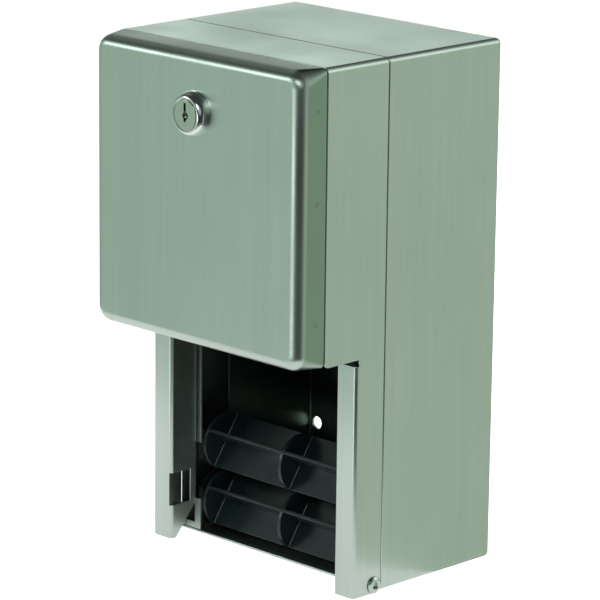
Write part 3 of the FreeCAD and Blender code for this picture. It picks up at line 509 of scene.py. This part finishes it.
def plated_metal(name, tint, roughness, smudge=0.04):
    """Plated and polished metal: mirror-like, with faint handling marks in its gloss."""
    material, tree, shader = empty_material(name)
    place = add_node(tree, "ShaderNodeTexCoord")
    marks = add_node(tree, "ShaderNodeTexNoise", {"Scale": 420.0, "Detail": 3.0},
                     {"Vector": place.outputs["Object"]})
    gloss = add_node(tree, "ShaderNodeMapRange",
                     {"From Min": 0.35, "From Max": 0.7, "To Min": roughness,
                      "To Max": roughness + smudge}, {"Value": marks.outputs[0]})
    base = add_node(tree, "ShaderNodeMix", {6: shade(tint, 0.95), 7: shade(tint, 1.0)},
                    {0: marks.outputs[0]}, data_type="RGBA")
    shader.inputs["Metallic"].default_value = 1.0
    tree.links.new(base.outputs[2], shader.inputs["Base Color"])
    tree.links.new(gloss.outputs[0], shader.inputs["Roughness"])
    return material


def moulded_plastic(name, tint, roughness, ior, grain):
    """Injection-moulded plastic: a faint spark-eroded grain, and flow lines in its gloss."""
    material, tree, shader = empty_material(name)
    place = add_node(tree, "ShaderNodeTexCoord")
    texture = add_node(tree, "ShaderNodeTexNoise", {"Scale": 1 / grain, "Detail": 2.0},
                       {"Vector": place.outputs["Object"]})
    flow = add_node(tree, "ShaderNodeTexNoise", {"Scale": 45.0, "Detail": 2.0, "Distortion": 0.6},
                    {"Vector": place.outputs["Object"]})
    gloss = add_node(tree, "ShaderNodeMapRange",
                     {"From Min": 0.3, "From Max": 0.7, "To Min": roughness - 0.07,
                      "To Max": roughness + 0.08}, {"Value": flow.outputs[0]})
    base = add_node(tree, "ShaderNodeMix", {6: shade(tint, 0.85), 7: shade(tint, 1.2)},
                    {0: flow.outputs[0]}, data_type="RGBA")
    bump = add_node(tree, "ShaderNodeBump", {"Strength": 0.15, "Distance": 0.00005},
                    {"Height": texture.outputs[0]})
    shader.inputs["IOR"].default_value = ior
    for socket, source in (("Base Color", base.outputs[2]), ("Roughness", gloss.outputs[0]),
                           ("Normal", bump.outputs[0])):
        tree.links.new(source, shader.inputs[socket])
    return material


def paint_node(node, material):
    """Give a CAD node its better material."""
    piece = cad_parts[node]
    for slot in piece.material_slots:
        slot.material = material


def finish_named(name, maker, *settings):
    """A material by name, made on its first use."""
    found = bpy.data.materials.get(name)
    return found if found else maker(name, *settings)


def settings_of(context):
    return context.scene.roll_dispenser


def satin(finish):
    return finish_named("stainless_steel_satin", brushed_steel, tuple(finish.steel), 0.33, 0.6)


# Pieces

class DISPENSER_OT_rear_cabinet(Operator):
    """Folded cabinet with its wall holes and the lip of its floor"""
    bl_idname = "dispenser.rear_cabinet"
    bl_label = "Rear cabinet"

    def execute(self, context):
        sheet = settings_of(context).sheet
        bm = bmesh.new()
        low, high = CABINET_LOW, CABINET_HIGH
        front = COVER_HIGH.y + SEAM
        add_block(bm, (low.x, front, low.z), (high.x, high.y, high.z))
        mouth = [face for face in bm.faces if close_to(face.calc_center_median().y, front)]
        bmesh.ops.delete(bm, geom=mouth, context="FACES")
        bends = [edge for edge in bm.edges if len(edge.link_faces) == 2]
        round_off(bm, bends, sheet.fold, 5)
        sill = [edge for edge in bm.edges if edge.is_boundary
                and all(close_to(vert.co.z, low.z) for vert in edge.verts)]
        lip = bmesh.ops.extrude_edge_only(bm, edges=sill)["geom"]
        bmesh.ops.translate(bm, vec=(0, low.y - front, 0), verts=verts_of(lip))
        face_outwards(bm, 2)
        thicken(bm, sheet)
        verts = add_block(bm, (low.x + sheet.fold, low.y, low.z),
                          (high.x - sheet.fold, low.y + HEM_DEPTH, low.z + 2 * sheet.gauge))
        hem = [edge for edge in {edge for vert in verts for edge in vert.link_edges}
               if all(close_to(vert.co.y, low.y) for vert in edge.verts)]
        round_off(bm, hem, HEM_ROUND, 3)
        for vert in bm.verts:
            vert.co.z = max(vert.co.z, low.z)
        piece = finish_piece(bm, "cabinet_sheet", "cabinet", satin(settings_of(context).finish),
                             ["rear_cabinet"], False)
        drills = bmesh.new()
        for across in (-sheet.hole_across / 2, 0, sheet.hole_across / 2):
            for up in (-sheet.hole_up / 2, sheet.hole_up / 2):
                add_rod(drills, (across, high.y, up), (0, 1, 0), sheet.hole, -DRILL_BACK,
                        DRILL_FRONT, 32)
        carve(piece, as_cutter(drills))
        return {"FINISHED"}


class DISPENSER_OT_front_cover(Operator):
    """Cover sheet with its two posts, their inner returns and the window in the left one"""
    bl_idname = "dispenser.front_cover"
    bl_label = "Front cover"

    def execute(self, context):
        sheet = settings_of(context).sheet
        sizes = settings_of(context).cover
        low, high = COVER_LOW, COVER_HIGH
        bm = bmesh.new()
        path = [bm.verts.new(place) for place in
                ((low.x, high.y, low.z), (low.x, high.y, high.z), (high.x, high.y, high.z),
                 (high.x, high.y, low.z))]
        rim = [bm.edges.new(pair) for pair in zip(path, path[1:])]
        for target in (-sizes.relief, COVER_FRONT):
            start = rim[0].verts[0].co.y
            made = bmesh.ops.extrude_edge_only(bm, edges=rim)["geom"]
            verts = verts_of(made)
            bmesh.ops.translate(bm, vec=(0, target - start, 0), verts=verts)
            rim = [item for item in made if isinstance(item, bmesh.types.BMEdge)
                   and all(close_to(vert.co.y, target) for vert in item.verts)]
        folds = [edge for edge in bm.edges if all(close_to(vert.co.z, high.z) for vert in edge.verts)
                 and close_to(edge.verts[0].co.x, edge.verts[1].co.x)]
        round_off(bm, folds, sheet.fold, 5)
        foot = PANEL_LOW.z
        for height in (foot, foot - sizes.post_top):
            slice_at(bm, list(bm.faces), (0, 0, height), (0, 0, 1))
        gone = [face for face in bm.faces if face.calc_center_median().z < foot
                and face.calc_center_median().y < -sizes.relief]
        bmesh.ops.delete(bm, geom=gone, context="FACES")
        self.add_posts(bm, sizes, foot)
        self.cut_posts(bm, sizes, low)
        heels = [vert for vert in bm.verts if close_to(vert.co.z, low.z)
                 and close_to(vert.co.y, high.y)]
        toes = [vert for vert in bm.verts if close_to(vert.co.z, foot)
                and close_to(vert.co.y, COVER_FRONT)]
        for verts, radius in ((heels, sizes.heel), (toes, sheet.fold)):
            bmesh.ops.bevel(bm, geom=verts, offset=radius, offset_type="OFFSET", segments=6,
                            profile=0.5, affect="VERTICES", material=-1)
        face_outwards(bm, 0)
        thicken(bm, sheet)
        self.add_lips(bm, sheet)
        finish_piece(bm, "cover_sheet", "cover", satin(settings_of(context).finish),
                     ["front_cover"], False)
        return {"FINISHED"}

    def add_posts(self, bm, sizes, foot):
        """Fold the posts from the cover's sides: front strip, then inner return."""
        top = foot - sizes.post_top
        rim = [edge for edge in bm.edges if edge.is_boundary
               and all(close_to(vert.co.y, -sizes.relief) and vert.co.z < top + 1e-5
                       for vert in edge.verts)]
        side = abs(rim[0].verts[0].co.x)
        for place, ratio in ((-sizes.post_front, 1.0), (-sizes.post_front, sizes.post_inner / side),
                             (-sizes.return_rear, 1.0)):
            made = bmesh.ops.extrude_edge_only(bm, edges=rim)["geom"]
            verts = verts_of(made)
            for vert in verts:
                vert.co = Vector((vert.co.x * ratio, place, vert.co.z))
            rim = [item for item in made if isinstance(item, bmesh.types.BMEdge)
                   and all(vert in verts for vert in item.verts)
                   and close_to(item.verts[0].co.x, item.verts[1].co.x)]
        for across, radius in ((side, sizes.post_front - sizes.relief - FOLD_SLACK),
                               (sizes.post_inner, sizes.post_bend)):
            bends = edges_where(bm, lambda at: close_to(abs(at.x), across)
                                and close_to(at.y, -sizes.post_front))
            round_off(bm, bends, radius, 5)

    def cut_posts(self, bm, sizes, low):
        """Slope the returns clear of the pivots and open the window in the left post."""
        def at_return(face):
            return close_to(abs(face.calc_center_median().x), sizes.post_inner)

        slice_at(bm, [face for face in bm.faces if at_return(face)],
                 (0, -sizes.return_rear, low.z + sizes.slope_rise),
                 (0, sizes.slope_rise, -sizes.slope_run), True)
        base = low.z

        def left_post():
            return [face for face in bm.faces
                    if low.x + CHEEK_SLACK < face.calc_center_median().x < 0
                    and face.calc_center_median().z < PANEL_LOW.z]

        for height in (base + sizes.window_low, base + sizes.window_high):
            slice_at(bm, left_post(), (0, 0, height), (0, 0, 1))

        def beside_window(face):
            return base + sizes.window_low < face.calc_center_median().z < base + sizes.window_high

        slice_at(bm, [face for face in left_post() if at_return(face) and beside_window(face)],
                 (0, -sizes.window_rear, 0), (0, 1, 0))
        slice_at(bm, [face for face in left_post() if beside_window(face)],
                 (-sizes.window_side, 0, 0), (1, 0, 0))
        gone = [face for face in left_post() if beside_window(face)
                and face.calc_center_median().y < -sizes.window_rear
                and face.calc_center_median().x > -sizes.window_side]
        bmesh.ops.delete(bm, geom=gone, context="FACES")

    def add_lips(self, bm, sheet):
        """Arched lip behind the panel's rim, which carries it."""
        side = COVER_HIGH.x - sheet.gauge
        top = COVER_HIGH.z - sheet.gauge
        soft = settings_of(bpy.context).panel.corner - sheet.gauge
        bottom = PANEL_LOW.z + soft
        lip = bmesh.new()
        path = [lip.verts.new((across, COVER_FRONT - LIP_REACH, up)) for across, up in
                ((-side, bottom), (-side, top), (side, top), (side, bottom))]
        rim = [lip.edges.new(pair) for pair in zip(path, path[1:])]
        made = bmesh.ops.extrude_edge_only(lip, edges=rim)["geom"]
        bmesh.ops.translate(lip, vec=(0, 2 * LIP_REACH, 0), verts=verts_of(made))
        bends = [edge for edge in lip.edges if len(edge.link_faces) == 2]
        round_off(lip, bends, soft, 6)
        face_outwards(lip, 0)
        thicken(lip, sheet)
        mesh = mesh_of("lip", lip)
        bm.from_mesh(mesh)
        bpy.data.meshes.remove(mesh)


class DISPENSER_OT_door_panel(Operator):
    """Drawn pan with soft edges that carries the lock"""
    bl_idname = "dispenser.door_panel"
    bl_label = "Door panel"

    def execute(self, context):
        sheet = settings_of(context).sheet
        sizes = settings_of(context).panel
        bm = bmesh.new()
        low, high = PANEL_LOW, PANEL_HIGH
        add_block(bm, low, high)
        rear = [face for face in bm.faces if close_to(face.calc_center_median().y, high.y)]
        bmesh.ops.delete(bm, geom=rear, context="FACES")
        deep = [edge for edge in bm.edges if len(edge.link_faces) == 2
                and not close_to(edge.verts[0].co.y, edge.verts[1].co.y)]
        round_off(bm, deep, sizes.corner, 10)
        round_off(bm, edges_where(bm, lambda at: close_to(at.y, low.y)), sizes.drawn, 10)
        self.tighten_rim(bm, low, high, sizes)
        face_outwards(bm, 1)
        thicken(bm, sheet)
        spots = [((side, COVER_FRONT - WELD_BACK, low.z + height), sizes.weld_spot)
                 for side in (low.x, high.x) for height in WELD_HEIGHTS]
        finish = settings_of(context).finish
        # Satin steel with weld marks, and painted shade on the side and top walls
        steel = finish_named("stainless_steel_satin_panel", brushed_steel, tuple(finish.steel),
                             0.33, 0.6, spots, tuple(finish.drawn))
        piece = finish_piece(bm, "door_pan", "cover", steel, ["door_panel"], False)
        centre = (RING_LOW + RING_HIGH) / 2
        drill = bmesh.new()
        add_rod(drill, (centre.x, low.y, centre.z), (0, 1, 0), sizes.lock_hole, -0.002, 0.004, 48)
        carve(piece, as_cutter(drill))
        return {"FINISHED"}

    def tighten_rim(self, bm, low, high, sizes):
        """Bring the drawn corners' radius down to the cover's bend at the open rim."""
        middle = (low + high) / 2
        for vert in bm.verts:
            side = math.copysign(1, vert.co.x - middle.x)
            up = math.copysign(1, vert.co.z - middle.z)
            corner = Vector((high.x if side > 0 else low.x, 0, high.z if up > 0 else low.z))
            inward = Vector((-side, 0, -up))
            away = vert.co - (corner + inward * sizes.corner)
            away.y = 0
            if close_to(vert.co.y, high.y) and away.x * side > -1e-5 and away.z * up > -1e-5:
                place = corner + inward * sizes.rim + away.normalized() * sizes.rim
                vert.co = Vector((place.x, vert.co.y - FACE_GAP, place.z))
            elif close_to(vert.co.y, high.y):
                vert.co.y -= FACE_GAP


class DISPENSER_OT_cam_lock(Operator):
    """Domed trim ring and keyed plug of the cam lock"""
    bl_idname = "dispenser.cam_lock"
    bl_label = "Cam lock"

    def execute(self, context):
        sizes = settings_of(context).lock
        finish = settings_of(context).finish
        steps = settings_of(context).studio.steps
        face = Vector((0, RING_HIGH.y, (RING_LOW.z + RING_HIGH.z) / 2))
        radius = (RING_HIGH.x - RING_LOW.x) / 2
        tall = RING_HIGH.y - RING_LOW.y
        forward = (0, -1, 0)
        bm = bmesh.new()
        turns = [math.radians(angle) for angle in range(0, 91, 9)]
        dome = [(sizes.crown + (sizes.waist - sizes.crown) * math.cos(turn),
                 sizes.foot + (tall - sizes.foot) * math.sin(turn)) for turn in turns]
        rise = tall - PLUG_DEPTH
        outline = ([(sizes.bore, 0), (radius, 0), (radius, sizes.foot - 0.0003),
                    (radius - 0.0001, sizes.foot)] + dome
                   + [(sizes.mouth, tall - 0.0002), (sizes.mouth, rise), (sizes.bore, rise)])
        add_turned(bm, outline, face, forward, steps)
        chrome = finish_named("chrome_plate", plated_metal, tuple(finish.chrome), 0.1)
        finish_piece(bm, "lock_bezel", "cover", chrome, ["lock_trim_ring"])
        bm = bmesh.new()
        proud = RING_HIGH.y - PLUG_LOW.y
        add_rod(bm, face, forward, sizes.plug, -0.0007, proud, steps)
        self.soften(bm, face, sizes.plug, proud, 0.00035, 3)
        steel = finish_named("plug_face_nickel", plated_metal, tuple(finish.plug), 0.2, 0.06)
        plug = finish_piece(bm, "lock_core", "lock_cylinder", steel, ["lock_plug"])
        front = face.y - proud
        half = sizes.slot / 2
        slot = bmesh.new()
        add_block(slot, (-half, front - DRILL_FRONT, face.z - sizes.slot_down),
                  (half, front + sizes.slot_deep, face.z + sizes.slot_up))
        carve(plug, as_cutter(slot))
        eye = bmesh.new()
        add_rod(eye, (half / 2, front, face.z - sizes.eye_drop), forward, sizes.eye,
                -sizes.eye_deep, DRILL_FRONT, 24)
        carve(plug, as_cutter(eye))
        bm = bmesh.new()
        add_rod(bm, face, forward, sizes.stem, PLUG_LOW.y - PLUG_HIGH.y + proud, -0.0006, 32)
        finish_piece(bm, "lock_stem", "lock_cylinder", steel, ["lock_plug"])
        return {"FINISHED"}

    def soften(self, bm, face, radius, height, width, segments):
        """Round a turned piece's ring edge at a radius and height."""
        def on_ring(at):
            away = math.hypot(at.x - face.x, at.z - face.z)
            return close_to(away, radius, 2e-5) and close_to(face.y - at.y, height, 2e-5)

        round_off(bm, edges_where(bm, on_ring), width, segments)


class DISPENSER_OT_pivot_rivets(Operator):
    """Hollow rivets with rolled heads on which the cover tilts"""
    bl_idname = "dispenser.pivot_rivets"
    bl_label = "Pivot rivets"

    def execute(self, context):
        finish = settings_of(context).finish
        steel = finish_named("rivet_steel_bright", plated_metal, tuple(finish.steel), 0.18, 0.1)
        for side, hand in (("right", 1), ("left", -1)):
            low, high = corners("pivot_rivet_" + side)
            outer = high.x if hand > 0 else low.x
            inner = low.x if hand > 0 else high.x
            seat = Vector((outer - hand * RIVET_HEAD_DEPTH, (low.y + high.y) / 2,
                           (low.z + high.z) / 2))
            deep = abs(seat.x - inner)
            bm = bmesh.new()
            outline = RIVET_HEAD + tuple((radius, height - deep) for radius, height in RIVET_FOOT)
            add_turned(bm, outline, seat, (hand, 0, 0), 36)
            finish_piece(bm, "rivet_" + side, "cabinet", steel, ["pivot_rivet_" + side])
        return {"FINISHED"}


class DISPENSER_OT_spindles(Operator):
    """Moulded spindles: crossed fins, three discs and end pins"""
    bl_idname = "dispenser.spindles"
    bl_label = "Spindles"

    def execute(self, context):
        sizes = settings_of(context).spindle
        finish = settings_of(context).finish
        plastic = finish_named("abs_black_moulded", moulded_plastic, tuple(finish.plastic), 0.32,
                               1.46, 0.0009)
        polished = finish_named("abs_black_polished", moulded_plastic, tuple(finish.plastic), 0.12,
                                1.6, 0.0009)
        for level in ("lower", "upper"):
            low, high = corners(level + "_spindle")
            centre = (low + high) / 2
            for part, finish_used in (("moulding", plastic), ("beads", polished)):
                bm = bmesh.new()
                if part == "moulding":
                    self.add_spindle(bm, sizes, high.x)
                else:
                    self.add_beads(bm, sizes)
                turn = Matrix.Rotation(sizes.tilt, 3, "X")
                bmesh.ops.rotate(bm, verts=bm.verts, cent=(0, 0, 0), matrix=turn)
                bmesh.ops.translate(bm, verts=bm.verts, vec=centre)
                finish_piece(bm, f"{level}_roller_{part}", level + "_roller", finish_used,
                             [level + "_spindle"])
        return {"FINISHED"}

    def add_beads(self, bm, sizes):
        """Polished beads in the corners between the web and the discs."""
        thin = sizes.fin_gauge / 2
        for disc in (-sizes.disc_out + sizes.disc_gauge / 2, 0,
                     sizes.disc_out - sizes.disc_gauge / 2):
            for hand in (-1, 1):
                face = disc + hand * (sizes.disc_gauge + sizes.bead) / 2
                if abs(face) > sizes.disc_out - sizes.disc_gauge / 2:
                    continue
                for side in (-1, 1):
                    self.add_soft_rod(bm, sizes.bead, -sizes.fin_reach, sizes.fin_reach, 0.0001,
                                      14, (face, 0, side * thin), (0, 1, 0))

    def add_spindle(self, bm, sizes, end):
        """One spindle about the X axis, with its web level."""
        outer = sizes.disc_out
        half = sizes.disc_gauge / 2
        for middle in (-outer + half, 0, outer - half):
            self.add_soft_rod(bm, sizes.disc, middle - half, middle + half, 0.0005, 64)
        thin = sizes.fin_gauge / 2
        span = outer - 0.001
        for wide, tall in ((sizes.fin_reach, thin), (thin, sizes.fin_reach)):
            verts = add_block(bm, (-span, -wide, -tall), (span, wide, tall))
            long = [edge for edge in {edge for vert in verts for edge in vert.link_edges}
                    if abs(edge.verts[0].co.x - edge.verts[1].co.x) > span]
            round_off(bm, long, 0.0003, 2)
        for start, stop in ((-end, -span), (span, end)):
            self.add_soft_rod(bm, sizes.pin, start, stop, 0.0004, 32)
        for middle in (-outer / 2, outer / 2):
            for across in (-MARK_ACROSS, MARK_ACROSS):
                for side in (-1, 1):
                    self.add_soft_rod(bm, MARK_RADIUS, thin - MARK_SUNK, thin + MARK_PROUD,
                                      0.00005, 20, (middle + MARK_ALONG * side, across, 0),
                                      (0, 0, side))

    def add_soft_rod(self, bm, radius, start, end, ease, steps, centre=(0, 0, 0), axis=(1, 0, 0)):
        """Rod with eased rims."""
        verts = add_rod(bm, centre, axis, radius, start, end, steps)
        rims = {edge for vert in verts for edge in vert.link_edges
                if any(len(face.verts) > 4 for face in edge.link_faces)}
        if ease:
            round_off(bm, list(rims), ease, 3)


class DISPENSER_OT_carried_nodes(Operator):
    """Better finishes for the CAD nodes that stay as they are"""
    bl_idname = "dispenser.carried_nodes"
    bl_label = "Carried-over parts"

    def execute(self, context):
        finish = settings_of(context).finish
        # Painted shade: darker steel for the sheet inside the cabinet
        housing = finish_named("housing_steel_rolled", brushed_steel, tuple(finish.housing), 0.3, 0.6)
        galvanised = finish_named("galvanised_sheet", plated_metal, tuple(finish.steel), 0.42, 0.12)
        zinc = finish_named("zinc_plate", plated_metal, tuple(finish.zinc), 0.28, 0.15)
        nickel = finish_named("nickel_plate", plated_metal, tuple(finish.plug), 0.22, 0.1)
        acetal = finish_named("acetal_black_moulded", moulded_plastic, tuple(finish.acetal), 0.45,
                              1.48, 0.0007)
        nylon = finish_named("nylon_natural", moulded_plastic, tuple(finish.nylon), 0.5, 1.53,
                             0.0007)
        for node in ("inner_housing", "lock_strike"):
            paint_node(node, housing)
        low, high = corners("inner_housing")
        gauge = settings_of(context).sheet.gauge
        for side, hand in (("left", -1), ("right", 1)):
            for node, material in (("guide_rail_", galvanised), ("pivot_bracket_", galvanised),
                                   ("pivot_washer_", zinc), ("pivot_spacer_", nylon),
                                   ("lower_shoe_", acetal), ("upper_shoe_", acetal)):
                paint_node(node + side, material)
            bm = bmesh.new()
            add_rod(bm, (hand * (high.x - gauge), low.y + gauge, 0), (0, 0, 1), gauge,
                    low.z, high.z, 24)
            finish_piece(bm, "housing_hem_" + side, "cabinet", galvanised)
        for node in ("lock_washer", "lock_nut", "lock_cam", "cam_screw"):
            paint_node(node, zinc)
        paint_node("lock_barrel", nickel)
        return {"FINISHED"}


class DISPENSER_OT_stage(Operator):
    """Camera, soft studio light and the pale floor"""
    bl_idname = "dispenser.stage"
    bl_label = "Stage"

    def execute(self, context):
        studio = settings_of(context).studio
        scene = context.scene
        lens = bpy.data.cameras.new("photo_camera")
        lens.lens = studio.lens
        lens.sensor_width = 36.0
        lens.clip_end = 20.0
        camera = bpy.data.objects.new("photo_camera", lens)
        scene.collection.objects.link(camera)
        camera.location = (1.3145, -1.39102, 0.47516)
        camera.rotation_euler = (1.320404, -0.011477, 0.785996)
        scene.camera = camera
        scene.view_settings.view_transform = "Standard"
        ground = CABINET_LOW.z
        paper = self.paper("pale_paper", studio.floor, 1.0)
        card = self.paper("pale_card", studio.floor, CARD_TONE, CARD_GLOW)
        floor = self.board("pale_floor", (FLOOR_REACH, FLOOR_REACH), (0, 0, ground - FLOOR_DROP),
                           paper)
        floor.visible_glossy = False
        board = self.board("pale_board", CARD_REACH, (*CARD_PLACE, ground + CARD_LIFT), card)
        board.visible_camera = False
        board.visible_shadow = False
        board.visible_diffuse = False
        self.surround(scene, studio)
        self.softbox("floor_wash", (-0.3, 0.2, 2.1), (-0.1, 0.1, -0.14), (3.4, 3.4), 150.0)
        return {"FINISHED"}

    def paper(self, name, tint, factor, glow=0.0):
        """Matt pale paper with a faint cloudiness; where it is given a glow, it shines by its own
        emission, which stands in for even light falling on it.
        """
        material, tree, shader = empty_material(name)
        place = add_node(tree, "ShaderNodeTexCoord")
        cloud = add_node(tree, "ShaderNodeTexNoise", {"Scale": 3.0, "Detail": 2.0},
                         {"Vector": place.outputs["Object"]})
        tone = add_node(tree, "ShaderNodeMix",
                        {6: shade(tint, 0.99 * factor), 7: shade(tint, factor)},
                        {0: cloud.outputs[0]}, data_type="RGBA")
        tree.links.new(tone.outputs[2], shader.inputs["Base Color"])
        shader.inputs["Roughness"].default_value = 0.8
        shader.inputs["Emission Color"].default_value = tuple(tint)
        shader.inputs["Emission Strength"].default_value = glow
        return material

    def board(self, name, reach, centre, material):
        """Flat oval board with its reach across and in depth."""
        bm = bmesh.new()
        bmesh.ops.create_circle(bm, cap_ends=True, radius=1.0, segments=96)
        bmesh.ops.scale(bm, verts=bm.verts, vec=(*reach, 1.0))
        bmesh.ops.translate(bm, verts=bm.verts, vec=centre)
        mesh = mesh_of(name, bm)
        mesh.materials.append(material)
        floor = bpy.data.objects.new(name, mesh)
        bpy.context.scene.collection.objects.link(floor)
        return floor

    def surround(self, scene, studio):
        """Dim studio with soft patches of light, and plain white behind the object."""
        world = bpy.data.worlds.new("soft_surround")
        world.use_nodes = True
        scene.world = world
        tree = world.node_tree
        tree.nodes.clear()
        place = add_node(tree, "ShaderNodeTexCoord")
        light = add_node(tree, "ShaderNodeVectorMath", {0: (0.04, 0.045, 0.045)}, operation="ADD")
        for toward, inner, outer, bright, tint in PATCHES:
            spread = add_node(tree, "ShaderNodeVectorMath", {1: Vector(toward).normalized()},
                              {0: place.outputs["Generated"]}, operation="DOT_PRODUCT")
            patch = add_node(tree, "ShaderNodeMapRange",
                             {"From Min": math.cos(math.radians(outer)),
                              "From Max": math.cos(math.radians(inner)), "To Min": 0.0,
                              "To Max": bright}, {"Value": spread.outputs["Value"]},
                             interpolation_type="SMOOTHSTEP")
            light = add_node(tree, "ShaderNodeVectorMath", {1: linear(tint)[:3]},
                             {0: patch.outputs[0], 2: light.outputs[0]}, operation="MULTIPLY_ADD")
        soft = add_node(tree, "ShaderNodeBackground", None, {"Color": light.outputs[0]})
        white = add_node(tree, "ShaderNodeBackground", {"Strength": studio.surround,
                                                        "Color": (1, 1, 1, 1)})
        seen = add_node(tree, "ShaderNodeLightPath")
        mixed = add_node(tree, "ShaderNodeMixShader", None,
                         {0: seen.outputs["Is Camera Ray"], 1: soft.outputs[0],
                          2: white.outputs[0]})
        add_node(tree, "ShaderNodeOutputWorld", links={"Surface": mixed.outputs[0]})

    def softbox(self, name, place, aim, size, power):
        """Rectangular area light at a place, turned to its aim."""
        light = bpy.data.lights.new(name, "AREA")
        light.shape = "RECTANGLE"
        light.size, light.size_y = size
        light.energy = power
        lamp = bpy.data.objects.new(name, light)
        bpy.context.scene.collection.objects.link(lamp)
        lamp.location = place
        lamp.rotation_euler = (Vector(aim) - Vector(place)).to_track_quat("-Z", "Y").to_euler()
        lamp.visible_camera = False
        lamp.visible_glossy = False


class DISPENSER_PT_sidebar(Panel):
    bl_label = "Twin roll dispenser"
    bl_idname = "DISPENSER_PT_sidebar"
    bl_space_type = "VIEW_3D"
    bl_region_type = "UI"
    bl_category = "Dispenser"

    def draw(self, context):
        settings = settings_of(context)
        for name, group in GROUPS.items():
            box = self.layout.box()
            box.label(text=name.capitalize())
            for key in group.__annotations__:
                box.prop(getattr(settings, name), key)
        for piece in PIECES:
            self.layout.operator(piece.bl_idname)


PIECES = (DISPENSER_OT_carried_nodes, DISPENSER_OT_rear_cabinet, DISPENSER_OT_front_cover,
          DISPENSER_OT_door_panel, DISPENSER_OT_cam_lock, DISPENSER_OT_pivot_rivets,
          DISPENSER_OT_spindles, DISPENSER_OT_stage)
CLASSES = tuple(GROUPS.values()) + (DispenserSettings,) + PIECES + (DISPENSER_PT_sidebar,)


def register():
    for item in CLASSES:
        bpy.utils.register_class(item)
    bpy.types.Scene.roll_dispenser = PointerProperty(type=DispenserSettings)


def unregister():
    del bpy.types.Scene.roll_dispenser
    for item in reversed(CLASSES):
        bpy.utils.unregister_class(item)


def main():
    register()
    for piece in PIECES:
        group, name = piece.bl_idname.split(".")
        getattr(getattr(bpy.ops, group), name)()


if __name__ == "__main__":
    main()
